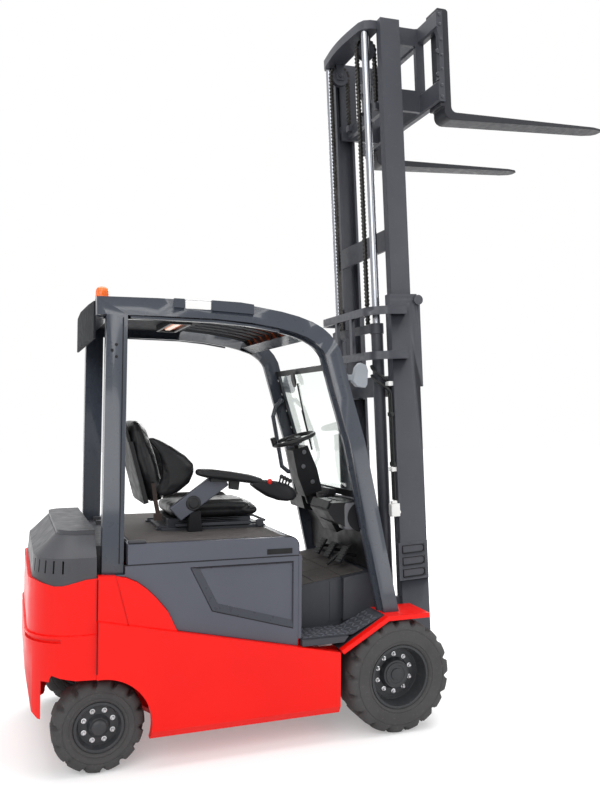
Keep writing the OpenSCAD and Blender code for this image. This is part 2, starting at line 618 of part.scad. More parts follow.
// Supply hoses down the rear of the right-hand channel, with their holders
module hoses() color("#17181a") place() mast() {
  for (q = [[-20, 1660, 9], [-42, 1606, 9]])
    hose(concat(
      [for (t = [0:0.125:1]) let(s = ease(min(1, t * 1.6)), e = ease(max(0, t * 1.5 - 0.5)))
        [-55 + 65 * e, -rod_v + (q[0] + rod_v - outer_half + 60) * s, q[1] - 110 * t]],
      [[10, q[0] - outer_half + 60, 1450], [10, q[0] - outer_half + 60, 900]]
    ), q[2]);
  for (w = [1370, 1090]) box(2, 19.7, -outer_half + 4, -outer_half + 56, w, w + 22);
}

module inner_mast() color("#22262c") place() mast() {
  pair() channel(44, 164, outer_half - 84, outer_half - 28, inner_low, inner_top, 14, 16);
  prism_z(concat([[44, 50 - outer_half], [60, 50 - outer_half], [60, outer_half - 50], [44, outer_half - 50]],
    [[44, outer_half - 71], [6, outer_half - 74], [-30, outer_half - 90]],
    [for (i = [0:8]) [-48 - 22 * sin(i * 22.5), (255 - i * 63.75) * (outer_half - 125) / 255]],
    [[-30, 90 - outer_half], [6, 74 - outer_half], [44, 71 - outer_half]]), head_low, inner_top);
  for (w = [inner_low + 10, inner_top - 1309]) box(42, 58, 80 - outer_half, outer_half - 80, w, w + 120);
  pair() box(36.3, 171.7, outer_half - 29, outer_half - 20, inner_low + 6, inner_low + 70);
  pair() for (v = [-24, 16]) box(0, 48, chain_v + v, chain_v + v + 8, sheave_w - 26, head_low);
  pair() turned(sheave_u, chain_v, sheave_w) polygon([[0, -16], [60, -16], [60, -13.5], [sheave_r, -12.8],
    [sheave_r, 12.8],
    [60, 13.5], [60, 16], [0, 16]]);
}
module lift_rods() color("#c9ccd0") place() mast() pair() rod_z(rod_u, rod_v, 22, barrel_top - 70, head_low);

// Chain up the rear, over the sheave and down to the carriage, with its edge waved by the links
module lift_chains() color("#3c3a36") place() mast() pair() {
  pitch = 52;
  back = sheave_u - 56;
  front = sheave_u + 56;
  low = barrel_top + 8;
  down = floor((sheave_w - fork_top - 132) / pitch);
  up = floor((sheave_w - low) / pitch);
  prism_y(concat(
    [for (i = [0:up], s = [0, 1]) [back - 5 - 3 * s, sheave_w - (up - i + 0.5 - 0.5 * s) * pitch]],
    [for (a = [165:-15:15]) [sheave_u + 64 * cos(a), sheave_w + 64 * sin(a)]],
    [for (i = [0:down], s = [0, 1]) [front + 8 - 3 * s, sheave_w - (i + 0.5 * s) * pitch]],
    [for (i = [down:-1:0], s = [1, 0]) [front - 7.5 + 3 * s, sheave_w - (i + 0.5 * s) * pitch]],
    [for (a = [15:15:165]) [sheave_u + (sheave_r + fit) / cos(7.5) * cos(a),
      sheave_w + (sheave_r + fit) / cos(7.5) * sin(a)]],
    [for (i = [up:-1:0], s = [1, 0]) [back + 4.5 + 3 * s, sheave_w - (up - i + 0.5 - 0.5 * s) * pitch]]
  ), chain_v - chain_w / 2, chain_v + chain_w / 2);
}

// Side plates with windows, two bars across, end plates, rollers and chain anchors
module carriage() color("#22262c") place() mast() {
  pair() difference() {
    prism_y([[66, fork_top + 62], [car_u - 60, fork_top + 62], [car_u, fork_top + 50], [car_u,
      fork_top + 556],
      [car_u - 60, fork_top + 545], [66, fork_top + 545]], outer_half - 118, outer_half - 92);
    box(170, 300, 0, outer_half, fork_top + 185, fork_top + 445);
  }
  for (w = [[49, 169], [457, 557]]) prism_y([[car_u - 40, fork_top + w[0] + 10], [car_u - 30,
    fork_top + w[0]], [car_u, fork_top + w[0]],
    [car_u, fork_top + w[1]], [car_u - 30, fork_top + w[1]], [car_u - 40, fork_top + w[1] - 10]],
    -fork_out - 10, fork_out + 10);
  pair() prism_y([[car_u - 40, fork_top + 168], [car_u, fork_top + 168], [car_u, fork_top + 458],
    [car_u - 40, fork_top + 458],
    [car_u - 28, fork_top + 420], [car_u - 28, fork_top + 210]], fork_out - 20, fork_out + 10);
  pair() for (w = [fork_top + 130, fork_top + 490]) rod_y(104, w, 43.7, outer_half - 93, outer_half - 48);
  pair() box(66, 110, chain_v - 18, chain_v + 18, fork_top + 90, fork_top + 126);
  box(96, 124, 118 - outer_half, outer_half - 118, fork_top + 70, fork_top + 130);
}
module fork() intersection() {
  prism_y(concat(
    [[car_u - 26, fork_top + 557], [car_u, fork_top + 557], [car_u, fork_top + 49], [car_u - 26,
    fork_top + 49]],
    [[car_u - 26, fork_top + 26], [car_u, fork_top + 26]], arc(car_u + 45, fork_top, 45, 180, 270, 6),
    [[tip_u, fork_top - tip_t], [tip_u, fork_top]], arc(shank_u + 30, fork_top + 30, 30, 270, 180, 6),
    [[shank_u, fork_top + 565], [shank_u - 12, fork_top + 578], [car_u - 26, fork_top + 578]]
  ), fork_out - fork_w, fork_out);
  prism_z([[0, fork_out], [0, fork_out - fork_w], [tip_u - 90, fork_out - fork_w], [tip_u - 24,
    fork_out - fork_w + 16],
    [tip_u, fork_out - fork_w + 42], [tip_u, fork_out - 42], [tip_u - 24, fork_out - 16], [tip_u - 90,
    fork_out]], 0, 5000);
}
module fork_left() color("#2a2d31") place() mast() fork();
module fork_right() color("#2a2d31") place() mast() mirror([0, 1, 0]) fork();

module along_tilt() translate([tilt_a[0], tilt_y, tilt_a[1]]) rotate([0, 90 - tilt_ang, 0]) children();
module tilt_barrels() color("#1d2024") place() pair() difference() {
  union() {
    rod_y(tilt_a[0], tilt_a[1], 28, tilt_y - 13, tilt_y + 13);
    along_tilt() rod_z(0, 0, 31, 24, 370);
  }
  along_tilt() rod_z(0, 0, 19.6, 60, 380);
  rod_y(tilt_a[0], tilt_a[1], 14.05, tilt_y - 60, tilt_y + 60);
}
module tilt_rods() color("#c9ccd0") place() pair() difference() {
  union() {
    rod_y(tilt_e[0], tilt_e[1], 30, tilt_y - 13, tilt_y + 13);
    along_tilt() rod_z(0, 0, 19, 230, tilt_len - 20);
  }
  rod_y(tilt_e[0], tilt_e[1], 17, tilt_y - 60, tilt_y + 60);
}

frame();
counterweight();
counterweight_cover();
battery();
side_panels();
hood();
floor_pan();
mudguards();
dash();
windshield();
overhead_guard();
roof_panel();
beacon();
seat_base();
seat_cushion();
seat_back();
armrest();
steering_column();
steering_wheel();
pedals();
work_lights();
grab_handle();
drive_axle();
steer_axle();
knuckle_left();
knuckle_right();
tyre_front_left();
rim_front_left();
tyre_front_right();
rim_front_right();
tyre_rear_left();
rim_rear_left();
tyre_rear_right();
rim_rear_right();
outer_mast();
lift_cylinders();
hoses();
inner_mast();
lift_rods();
lift_chains();
carriage();
fork_left();
fork_right();
tilt_barrels();
tilt_rods();
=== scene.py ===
"""Looks of a battery counterbalance forklift truck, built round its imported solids."""

import json
import math
from collections import namedtuple

import bmesh
import bpy
from mathutils import Matrix, Vector


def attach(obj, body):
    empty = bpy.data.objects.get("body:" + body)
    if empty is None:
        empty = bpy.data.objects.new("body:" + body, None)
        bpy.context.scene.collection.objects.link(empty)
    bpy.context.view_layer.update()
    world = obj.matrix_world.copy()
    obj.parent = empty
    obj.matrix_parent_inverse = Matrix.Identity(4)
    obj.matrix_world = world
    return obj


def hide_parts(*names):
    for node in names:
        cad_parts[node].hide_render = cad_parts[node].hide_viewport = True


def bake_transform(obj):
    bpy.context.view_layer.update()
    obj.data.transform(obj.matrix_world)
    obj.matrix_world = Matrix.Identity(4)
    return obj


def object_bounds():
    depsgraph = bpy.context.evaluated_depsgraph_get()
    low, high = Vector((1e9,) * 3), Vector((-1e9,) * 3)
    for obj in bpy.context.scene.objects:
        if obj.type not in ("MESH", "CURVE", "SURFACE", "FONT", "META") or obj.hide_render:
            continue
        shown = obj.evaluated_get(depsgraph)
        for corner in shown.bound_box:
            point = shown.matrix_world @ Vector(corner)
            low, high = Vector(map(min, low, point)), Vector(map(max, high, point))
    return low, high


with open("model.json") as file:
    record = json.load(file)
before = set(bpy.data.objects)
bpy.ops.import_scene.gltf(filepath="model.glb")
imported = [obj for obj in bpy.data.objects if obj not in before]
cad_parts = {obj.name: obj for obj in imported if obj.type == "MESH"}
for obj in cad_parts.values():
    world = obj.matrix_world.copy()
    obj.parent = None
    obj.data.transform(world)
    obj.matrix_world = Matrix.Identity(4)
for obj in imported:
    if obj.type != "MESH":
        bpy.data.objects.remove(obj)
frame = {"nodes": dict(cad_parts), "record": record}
cad_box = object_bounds()
scene = bpy.context.scene
NODE_BODY = {n: b for b, ns in frame["record"]["behaviour"]["bodies"].items() for n in ns}
SLOT_OF = {s["node"]: s["material_slot"] for s in frame["record"]["subparts"]}

# Dimensions of the part, in millimetres from the front axle, the middle plane and the floor
WHEELBASE, REAR_OVERHANG = 1530, 325
BODY_Y, PANEL_Y = 600, 572
SEAM_X = -WHEELBASE - 18
CREASE_TOP, WEIGHT_TOP = 712, 905
DECK_X, DECK_Z = -560, 1050
LID_Z = DECK_Z - 95
HOOD_R = 50
FLOOR_X, FLOOR_Z = DECK_X + 14, 740
FLOOR_RISE, FLOOR_RUN = 80, 522
FLOOR_SIDE = 366
STEP_Z = 530
ROOF_Z = 2215
RAIL_IN, RAIL_OUT = 465, 535
PIVOT_X, PIVOT_Z = 130, 290
TILT = math.radians(3.0)

# Dimensions along the mast, in millimetres from its pivot
OUTER_V = 380
FORK_TOP, FORK_OUT = 3068, 490
CAR_U = 355
CHAIN_V = 190
CHAIN_LOW, CHAIN_R = 1908, 56
SHEAVE_U, SHEAVE_W = 24, 3498

# Front axle in the frame, in metres
AXLE_X = cad_box[0][0] + (WHEELBASE + REAR_OVERHANG) / 1000
SIDES = {"right": -1, "left": 1}


def at(x, y, z):
    """A point given from the front axle, the middle plane and the floor."""
    return Vector((x / 1000 + AXLE_X, y / 1000, z / 1000))


def deck(x, y, z):
    """A point given from the front edge of the seat deck."""
    return at(DECK_X + x, y, DECK_Z + z)


def on_mast(u, v, w):
    """A point given ahead of the mast's pivot, to the left and up along the mast."""
    ahead = PIVOT_X + u * math.cos(TILT) - w * math.sin(TILT)
    return at(ahead, v, PIVOT_Z + u * math.sin(TILT) + w * math.cos(TILT))


def floor_at(x):
    """Height of the driver's floor, which rises to the front."""
    return FLOOR_Z + (x - FLOOR_X) * FLOOR_RISE / FLOOR_RUN


def turns(count):
    """Angles of a number of equal steps round a circle."""
    return [2 * math.pi * i / count for i in range(count)]


# Materials

class Shader:
    """One node material and the few textures that its surface is made of."""

    def __init__(self, name, colour, rough, **sockets):
        self.material = bpy.data.materials.new(name)
        self.material.use_nodes = True
        self.tree = self.material.node_tree
        self.bsdf = self.tree.nodes["Principled BSDF"]
        self.place = self.tree.nodes.new("ShaderNodeTexCoord").outputs["Object"]
        self.bsdf.inputs["Base Color"].default_value = (*colour, 1)
        self.bsdf.inputs["Roughness"].default_value = rough
        for socket, value in sockets.items():
            self.bsdf.inputs[socket.replace("_", " ")].default_value = value
        self.rough = rough
        self.height = None

    def node(self, kind, **inputs):
        n = self.tree.nodes.new("ShaderNode" + kind)
        for key, value in inputs.items():
            socket = n.inputs[key.replace("_", " ")]
            if isinstance(value, bpy.types.NodeSocket):
                self.tree.links.new(value, socket)
            else:
                socket.default_value = value
        return n

    def noise(self, scale, detail=3.0, stretch=None):
        place = self.place
        if stretch:
            place = self.node("Mapping", Vector=place, Scale=stretch).outputs[0]
        return self.node("TexNoise", Vector=place, Scale=scale, Detail=detail).outputs["Fac"]

    def ranged(self, value, low, high, to_low, to_high):
        n = self.node("MapRange", Value=value, From_Min=low, From_Max=high, To_Min=to_low, To_Max=to_high)
        return n.outputs["Result"]

    def tint(self, fac, other, low=0.35, high=0.65):
        """Mixes the surface's colour so far towards another where fac is high."""
        mix = self.tree.nodes.new("ShaderNodeMix")
        mix.data_type = "RGBA"
        self.tree.links.new(self.ranged(fac, low, high, 0, 1), mix.inputs["Factor"])
        base = self.bsdf.inputs["Base Color"]
        if base.is_linked:
            self.tree.links.new(base.links[0].from_socket, mix.inputs["A"])
        else:
            mix.inputs["A"].default_value = base.default_value
        mix.inputs["B"].default_value = (*other, 1)
        self.tree.links.new(mix.outputs["Result"], base)

    def vary_rough(self, fac, spread):
        low, high = max(0.02, self.rough - spread), min(1, self.rough + spread)
        value = self.ranged(fac, 0.3, 0.7, low, high)
        self.tree.links.new(value, self.bsdf.inputs["Roughness"])

    def bump(self, height, strength, distance):
        n = self.node("Bump", Height=height, Strength=strength, Distance=distance)
        if self.height:
            self.tree.links.new(self.height, n.inputs["Normal"])
        self.height = n.outputs["Normal"]
        self.tree.links.new(self.height, self.bsdf.inputs["Normal"])


def gloss_paint(name, colour, shade, rough=0.36, coat=0.1):
    s = Shader(name, colour, rough, Coat_Weight=coat, Coat_Roughness=0.12, Specular_IOR_Level=0.18)
    s.tint(s.noise(1.6, 2), shade, 0.3, 0.8)
    s.vary_rough(s.noise(24, 4), 0.05)
    s.bump(s.noise(420, 2), 0.03, 0.0006)
    return s.material


def satin_paint(name, colour, shade, rough=0.45, dust=None, shine=0.3):
    s = Shader(name, colour, rough, Specular_IOR_Level=shine)
    s.tint(s.noise(2.5, 3), shade, 0.3, 0.8)
    if dust:
        s.tint(s.noise(55, 6), dust, 0.6, 0.9)
    s.vary_rough(s.noise(30, 5), 0.08)
    s.bump(s.noise(900, 2), 0.06, 0.0005)
    return s.material


def moulded_plastic(name, colour, shade, rough=0.55, grain=1400, shine=0.25):
    s = Shader(name, colour, rough, Specular_IOR_Level=shine)
    s.tint(s.noise(5, 3), shade, 0.35, 0.75)
    s.vary_rough(s.noise(18, 4), 0.08)
    cells = s.node("TexVoronoi", Vector=s.place, Scale=grain).outputs["Distance"]
    s.bump(cells, 0.25, 0.0003)
    return s.material


def rubber(name, colour, shade, dust):
    s = Shader(name, colour, 0.85)
    s.tint(s.noise(9, 5), shade, 0.35, 0.7)
    s.tint(s.noise(60, 8), dust, 0.58, 0.85)
    s.bump(s.noise(260, 6), 0.35, 0.0012)
    return s.material


def bare_metal(name, colour, shade, rough, streak=(1, 1, 1)):
    s = Shader(name, colour, rough, Metallic=1.0)
    s.tint(s.noise(14, 5, streak), shade, 0.4, 0.75)
    s.vary_rough(s.noise(90, 4, streak), 0.07)
    s.bump(s.noise(700, 3, streak), 0.05, 0.0003)
    return s.material


def grained_vinyl(name, colour, shade):
    s = Shader(name, colour, 0.36, Specular_IOR_Level=0.22)
    s.tint(s.noise(7, 4), shade, 0.4, 0.7)
    s.vary_rough(s.noise(40, 4), 0.08)
    cells = s.node("TexVoronoi", Vector=s.place, Scale=420).outputs["Distance"]
    s.bump(cells, 0.15, 0.0004)
    s.bump(s.noise(22, 2), 0.12, 0.002)
    return s.material


def lens(name, colour, shade, glow):
    s = Shader(name, colour, 0.15, Transmission_Weight=0.2, IOR=1.49, Emission_Strength=glow)
    s.bsdf.inputs["Emission Color"].default_value = (*colour, 1)
    s.tint(s.noise(40, 2), shade)
    wave = s.node("TexWave", Vector=s.place, Scale=60.0).outputs["Fac"]
    s.bump(wave, 0.3, 0.001)
    return s.material


def window_glass(name):
    s = Shader(name, (0.86, 0.91, 0.88), 0.02, Transmission_Weight=1.0, IOR=1.45)
    s.vary_rough(s.noise(12, 4), 0.015)
    s.bump(s.noise(3, 1), 0.01, 0.001)
    return s.material


RED = (0.83, 0.006, 0.002)
RED_SHADE = (0.76, 0.004, 0.002)
SLATE = (0.078, 0.083, 0.106)
SLATE_SHADE = (0.066, 0.07, 0.09)
MAST = (0.046, 0.049, 0.06)
MAST_SHADE = (0.036, 0.038, 0.047)
BLACK = (0.009, 0.0095, 0.0105)
BLACK_SHADE = (0.015, 0.0155, 0.017)

materials = dict(
    body_red=gloss_paint("Body red", RED, RED_SHADE),
    cast_red=gloss_paint("Cast red", RED, RED_SHADE),
    dark_plastic=moulded_plastic("Dark moulding", (0.062, 0.063, 0.07), (0.05, 0.051, 0.057), 0.42),
    battery_case=satin_paint("Battery case", (0.16, 0.165, 0.17), (0.12, 0.12, 0.125)),
    panel_grey=satin_paint("Slate panel", SLATE, SLATE_SHADE, rough=0.36),
    black_steel=satin_paint("Black steel", (0.04, 0.043, 0.051), (0.033, 0.036, 0.043), 0.5),
    glass=window_glass("Window glass"),
    guard_black=gloss_paint("Guard paint", (0.04, 0.047, 0.062), (0.034, 0.04, 0.053), 0.3, 0.5),
    amber_lens=lens("Amber lens", (0.85, 0.17, 0.02), (0.7, 0.12, 0.01), 0.2),
    seat_cover=grained_vinyl("Grained vinyl", BLACK, BLACK_SHADE),
    black_plastic=moulded_plastic("Black moulding", BLACK, BLACK_SHADE, rough=0.45),
    lamp_grey=moulded_plastic("Lamp housing", (0.26, 0.28, 0.31), (0.21, 0.23, 0.25), 0.38),
    cast_black=satin_paint(
        "Cast black", (0.028, 0.029, 0.032), (0.04, 0.038, 0.036), 0.6, dust=(0.08, 0.07, 0.06)),
    tyre=rubber("Tyre rubber", (0.05, 0.049, 0.05), (0.04, 0.039, 0.04), dust=(0.085, 0.08, 0.075)),
    rim_grey=satin_paint(
        "Rim paint", (0.035, 0.037, 0.041), (0.026, 0.028, 0.031), 0.4, dust=(0.08, 0.075, 0.07)),
    mast_paint=satin_paint("Mast paint", MAST, MAST_SHADE, 0.4, dust=(0.065, 0.066, 0.072)),
    chrome=bare_metal("Chromed rod", (0.31, 0.32, 0.35), (0.26, 0.27, 0.29), 0.2, streak=(1, 1, 0.06)),
    chain_steel=bare_metal("Chain steel", (0.05, 0.048, 0.046), (0.02, 0.019, 0.018), 0.4),
    fork_paint=satin_paint(
        "Fork paint", (0.026, 0.027, 0.032), (0.02, 0.021, 0.025), 0.42,
        dust=(0.05, 0.05, 0.054), shine=0.18),
)
# Looks of the small pieces that differ from their slot
# Near black for the real joints, and painted shade where it lines the grip slot, bolt holes, post groove and
# mast windows
JOINT_AND_SHADE = moulded_plastic("Dark joint and painted shade", (0.006, 0.006, 0.007), (0.01, 0.01, 0.011), rough=0.7)
# Black plastic of the dash, column, pedals, armrest and bumper, painted darker still as painted shade
COCKPIT_PAINTED_SHADE = moulded_plastic(
    "Cockpit moulding painted shade", (0.012, 0.0122, 0.014), (0.009, 0.0092, 0.0105), 0.42, shine=0.12)
# Roof paint darker than the guard's: partly its own dark paint, partly painted shade under the roof
ROOF_PAINTED_SHADE = satin_paint("Roof underside painted shade", (0.016, 0.017, 0.02), (0.012, 0.013, 0.015), 0.7, shine=0.1)
# The pocket's slope is painted darker than the panel, as painted shade on the slope
POCKET_PAINTED_SHADE = satin_paint("Pocket slope painted shade", (0.04, 0.043, 0.056), (0.034, 0.037, 0.048), rough=0.32)
# Grips lighter than the mat: partly their rubber, partly a painted glint where they catch light
GRIP_PAINTED_GLINT = rubber("Step grip painted glint", (0.085, 0.09, 0.108), (0.065, 0.07, 0.085), (0.16, 0.16, 0.175))
MAT = rubber("Step mat", (0.038, 0.041, 0.052), (0.03, 0.032, 0.041), (0.06, 0.06, 0.068))
FLOOR_MAT = rubber("Floor mat", (0.075, 0.066, 0.064), (0.055, 0.049, 0.047), (0.11, 0.1, 0.095))
BRIGHT = bare_metal("Zinc plating", (0.62, 0.62, 0.64), (0.45, 0.45, 0.46), 0.3)
PALE = moulded_plastic("White plastic", (0.8, 0.8, 0.79), (0.7, 0.7, 0.69), rough=0.4)
BUTTON = moulded_plastic("Red button", (0.6, 0.02, 0.015), (0.5, 0.015, 0.01), rough=0.25)
POD = moulded_plastic("Grey moulding", (0.11, 0.112, 0.122), (0.09, 0.092, 0.1), rough=0.36)
GLOW = lens("Lamp diffuser", (0.85, 0.62, 0.45), (0.7, 0.42, 0.25), 0.35)
WEBBING = rubber("Belt webbing", (0.03, 0.02, 0.017), (0.05, 0.03, 0.025), (0.07, 0.05, 0.04))


# Mesh helpers

def settle(obj):
    """Replaces an object's mesh by what its modifiers make of it."""
    mesh = bpy.data.meshes.new_from_object(obj.evaluated_get(bpy.context.evaluated_depsgraph_get()))
    obj.modifiers.clear()
    obj.data = mesh
    return obj


def smooth(obj, angle=35):
    obj.data.shade_smooth()
    obj.data.set_sharp_from_angle(angle=math.radians(angle))


def round_edges(obj, width, segments=2, angle=28):
    """Rounds an object's sharp edges and evens out the shading of its flat faces."""
    bevel = obj.modifiers.new("Bevel", "BEVEL")
    bevel.width = width
    bevel.segments = segments
    bevel.limit_method = "ANGLE"
    bevel.angle_limit = math.radians(angle)
    bevel.miter_outer = "MITER_ARC"
    obj.modifiers.new("Weights", "WEIGHTED_NORMAL").keep_sharp = True
    obj.data.shade_smooth()
    return settle(obj)


def shifted(path, d):
    """A line of points in X and Z moved to the left of its direction."""
    out = []
    for i, (x, z) in enumerate(path):
        (xa, za), (xb, zb) = path[max(i - 1, 0)], path[min(i + 1, len(path) - 1)]
        run = math.hypot(xb - xa, zb - za)
        out.append((x - d * (zb - za) / run, z + d * (xb - xa) / run))
    return out


def ribbon(path, a, b):
    return shifted(path, a) + shifted(path, b)[::-1]


def along(path, s):
    """Place and direction after the distance s on a line of points in X and Z."""
    for (xa, za), (xb, zb) in zip(path, path[1:]):
        run = math.hypot(xb - xa, zb - za)
        if s <= run:
            break
        s -= run
    return xa + (xb - xa) * s / run, za + (zb - za) * s / run, math.atan2(zb - za, xb - xa)


def oval(half_a, half_b, count=24, power=3.2):
    """Points round a rounded rectangle of the given half sizes."""
    points = []
    for angle in turns(count):
        c, s = math.cos(angle), math.sin(angle)
        a, b = abs(c) ** (2 / power), abs(s) ** (2 / power)
        points.append((half_a * math.copysign(a, c), half_b * math.copysign(b, s)))
    return points


def arc(x, z, r, start, stop, steps):
    """Points round part of a circle, between two angles in degrees."""
    angles = [math.radians(start + (stop - start) * k / steps) for k in range(steps + 1)]
    return [(x + r * math.cos(a), z + r * math.sin(a)) for a in angles]


def rectangle(x0, x1, z0, z1):
    return [(x0, z0), (x1, z0), (x1, z1), (x0, z1)]


class Shape:
    """A mesh put together from lofts and turned pieces."""

    def __init__(self):
        self.bm = bmesh.new()

    def loft(self, rings, closed=False):
        rows = [[self.bm.verts.new(p) for p in ring] for ring in rings]
        for a, b in zip(rows, rows[1:] + rows[:1] if closed else rows[1:]):
            for i in range(len(a)):
                j = (i + 1) % len(a)
                self.bm.faces.new((a[i], a[j], b[j], b[i]))
        if not closed:
            self.bm.faces.new(rows[0])
            self.bm.faces.new(rows[-1])
        return self

    def prism(self, outline, low, high, place=at):
        """An outline in X and Z drawn out across Y."""
        return self.loft([[place(x, y, z) for x, z in outline] for y in (low, high)])

    def plate(self, outline, sign, near, far, place=at):
        """An outline in X and Z drawn out on one side, between two distances from the middle plane."""
        return self.prism(outline, *sorted((sign * near, sign * far)), place)

    def box(self, low, high, place=at):
        (x0, y0, z0), (x1, y1, z1) = low, high
        return self.prism(rectangle(x0, x1, z0, z1), y0, y1, place)

    def turned(self, centre, axis, profile, steps=24):
        """A profile of distances along and radii, turned round an axis."""
        z = Vector(axis).normalized()
        x = z.orthogonal().normalized()
        y = z.cross(x)
        return self.loft([
            [centre + (z * d + (x * math.cos(a) + y * math.sin(a)) * r) / 1000 for a in turns(steps)]
            for d, r in profile
        ])

    def tube(self, path, radius, sides=10):
        """A round bar along a path of points."""
        rings = []
        across = None
        for i, p in enumerate(path):
            ahead = (path[min(i + 1, len(path) - 1)] - path[max(i - 1, 0)]).normalized()
            across = across - ahead * across.dot(ahead) if across else ahead.orthogonal()
            across.normalize()
            up = ahead.cross(across)
            spokes = [across * math.cos(a) + up * math.sin(a) for a in turns(sides)]
            rings.append([p + spoke * radius / 1000 for spoke in spokes])
        return self.loft(rings)

    def nut(self, centre, axis, size, height):
        """A hexagon nut on a washer, with the end of its stud."""
        stud = size * 0.5
        self.turned(centre, axis, [(0, size * 1.35), (2, size * 1.35), (2.5, size * 1.2)], 20)
        self.turned(centre, axis, [(2, size), (height - 2, size), (height, size * 0.82)], 6)
        return self.turned(centre, axis, [(height, stud), (height + 4, stud), (height + 5, size * 0.4)], 12)

    def stack(self, sections, place):
        """Rounded sections joined in a row, each with its middle and its half sizes across Y and up."""
        return self.loft([
            [place(x, y + a, z + b) for a, b in oval(half_y, half_z)] for x, y, z, half_y, half_z in sections
        ])

    def finish(self, name, body, slot, look=None, bevel=0, stands_for=()):
        """Makes the mesh a piece that rides a body and may stand for solids."""
        bmesh.ops.recalc_face_normals(self.bm, faces=self.bm.faces)
        mesh = bpy.data.meshes.new(name)
        self.bm.to_mesh(mesh)
        self.bm.free()
        obj = bpy.data.objects.new(name, mesh)
        scene.collection.objects.link(obj)
        mesh.materials.append(look or materials[slot])
        if bevel:
            round_edges(obj, bevel / 1000)
        else:
            smooth(obj)
        if body:
            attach(obj, body)
        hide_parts(*stands_for)
        return obj


# Softened copies of the rigid solids

# Solids whose flat faces stay in triangles, because they run round openings or meet in thin steps
PIERCED = ("carriage", "mudguards", "overhead_guard", "frame")
# The dash, column and pedals get the black moulding with painted shade, and the roof panel the roof paint
# with painted shade
LOOKS = dict(dash=COCKPIT_PAINTED_SHADE, steering_column=COCKPIT_PAINTED_SHADE, pedals=COCKPIT_PAINTED_SHADE, roof_panel=ROOF_PAINTED_SHADE)
# Width of the rounding of each solid's edges in millimetres
EDGES = dict(
    frame=8, counterweight=26, counterweight_cover=14, side_panels=4, hood=7, floor_pan=3,
    mudguards=6, dash=14, overhead_guard=20, roof_panel=4, seat_base=6, steering_column=4,
    steering_wheel=2, pedals=4, work_lights=10, grab_handle=1, drive_axle=6, steer_axle=5,
    knuckle_left=2, knuckle_right=2, rim_front_left=3, rim_front_right=3, rim_rear_left=3,
    rim_rear_right=3, outer_mast=4, lift_cylinders=3, hoses=1, inner_mast=4, lift_rods=1,
    carriage=5, fork_left=6, fork_right=6, tilt_barrels=3, tilt_rods=2, battery=6,
    windshield=1,
)
WIDE_EDGE = 12


def soften(node, width):
    """A copy of a solid with its sharp edges rounded, standing for the solid."""
    bm = bmesh.new()
    bm.from_mesh(frame["nodes"][node].data)
    bmesh.ops.remove_doubles(bm, verts=bm.verts, dist=2e-5)
    if node not in PIERCED:
        bmesh.ops.dissolve_limit(bm, angle_limit=math.radians(0.5), verts=bm.verts, edges=bm.edges)
    mesh = bpy.data.meshes.new(node + "_skin")
    bm.to_mesh(mesh)
    bm.free()
    obj = bpy.data.objects.new(node + "_skin", mesh)
    scene.collection.objects.link(obj)
    round_edges(obj, width / 1000, 4 if width > WIDE_EDGE else 2)
    obj.data.materials.clear()
    obj.data.materials.append(LOOKS.get(node, materials[SLOT_OF[node]]))
    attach(obj, NODE_BODY[node])
    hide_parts(node)


for node, width in EDGES.items():
    soften(node, width)


# Wheels

# Axle, middle of the tread, tyre, rim, lugs round the tyre, nuts and their circle, face of the disc, hub cap
Wheel = namedtuple("Wheel", "x middle radius width rim lugs nuts circle face cap")
WHEELS = {
    "front": Wheel(
        x=0, middle=505, radius=293, width=225, rim=165, lugs=18, nuts=10, circle=98, face=525,
        cap=[(28, 62), (36, 60), (36, 48), (33, 46), (33, 32), (38, 30), (40, 22), (40, 1)],
    ),
    "rear": Wheel(
        x=-WHEELBASE, middle=475, radius=212, width=166, rim=116, lugs=14, nuts=8, circle=71, face=511,
        cap=[(26, 40), (34, 39), (42, 34), (47, 24), (49, 12), (49.5, 1)],
    ),
}
NUT_SIZE, NUT_HEIGHT = 9, 12
# Steps round one lug, how far a groove leans over half the tread, and the share of a lug that it takes up
LUG_STEPS = 12
GROOVE_LEAN = 0.3
GROOVE_FROM, GROOVE_RAMP = 0.66, 0.08


def tyre(name, body, wheel, middle):
    """A solid tyre with ridged sides and slanting grooves between its shoulder lugs."""
    radius, rim, half = wheel.radius, wheel.rim, wheel.width / 2
    # Distance in from the side, radius and depth of the groove
    side = [
        (16, rim + 1, 0), (7, rim + 7, 0), (4, rim + 14, 0), (6, rim + 17, 0), (6, rim + 20, 0),
        (2.5, rim + 23, 0), (1, (rim + radius) / 2 - 16, 0), (0, radius - 62, 0), (0.5, radius - 52, 0),
        (3.5, radius - 49, 0), (3.5, radius - 46, 0), (1.5, radius - 43, 2), (3, radius - 30, 11),
        (9, radius - 15, 17), (20, radius - 5, 21), (36, radius, 22), (54, radius, 20), (66, radius, 3),
        (70, radius, 0),
    ]
    profile = [(d - half, r, cut) for d, r, cut in side] + [(0, radius, 0)]
    profile += [(half - d, r, cut) for d, r, cut in reversed(side)]
    rings = []
    for y, r, cut in profile:
        lean = GROOVE_LEAN * (half - abs(y)) / half
        ring = []
        for i, angle in enumerate(turns(wheel.lugs * LUG_STEPS)):
            share = (i / LUG_STEPS + lean) % 1
            rise, fall = (share - GROOVE_FROM) / GROOVE_RAMP, (1 - share) / GROOVE_RAMP
            groove = min(1, max(0, rise), max(0, fall))
            reach = (r - cut * groove) / 1000
            ring.append(middle + Vector((reach * math.cos(angle), y / 1000, reach * math.sin(angle))))
        rings.append(ring)
    Shape().loft(rings, closed=True).finish(name + "_rubber", body, "tyre", stands_for=(name,))


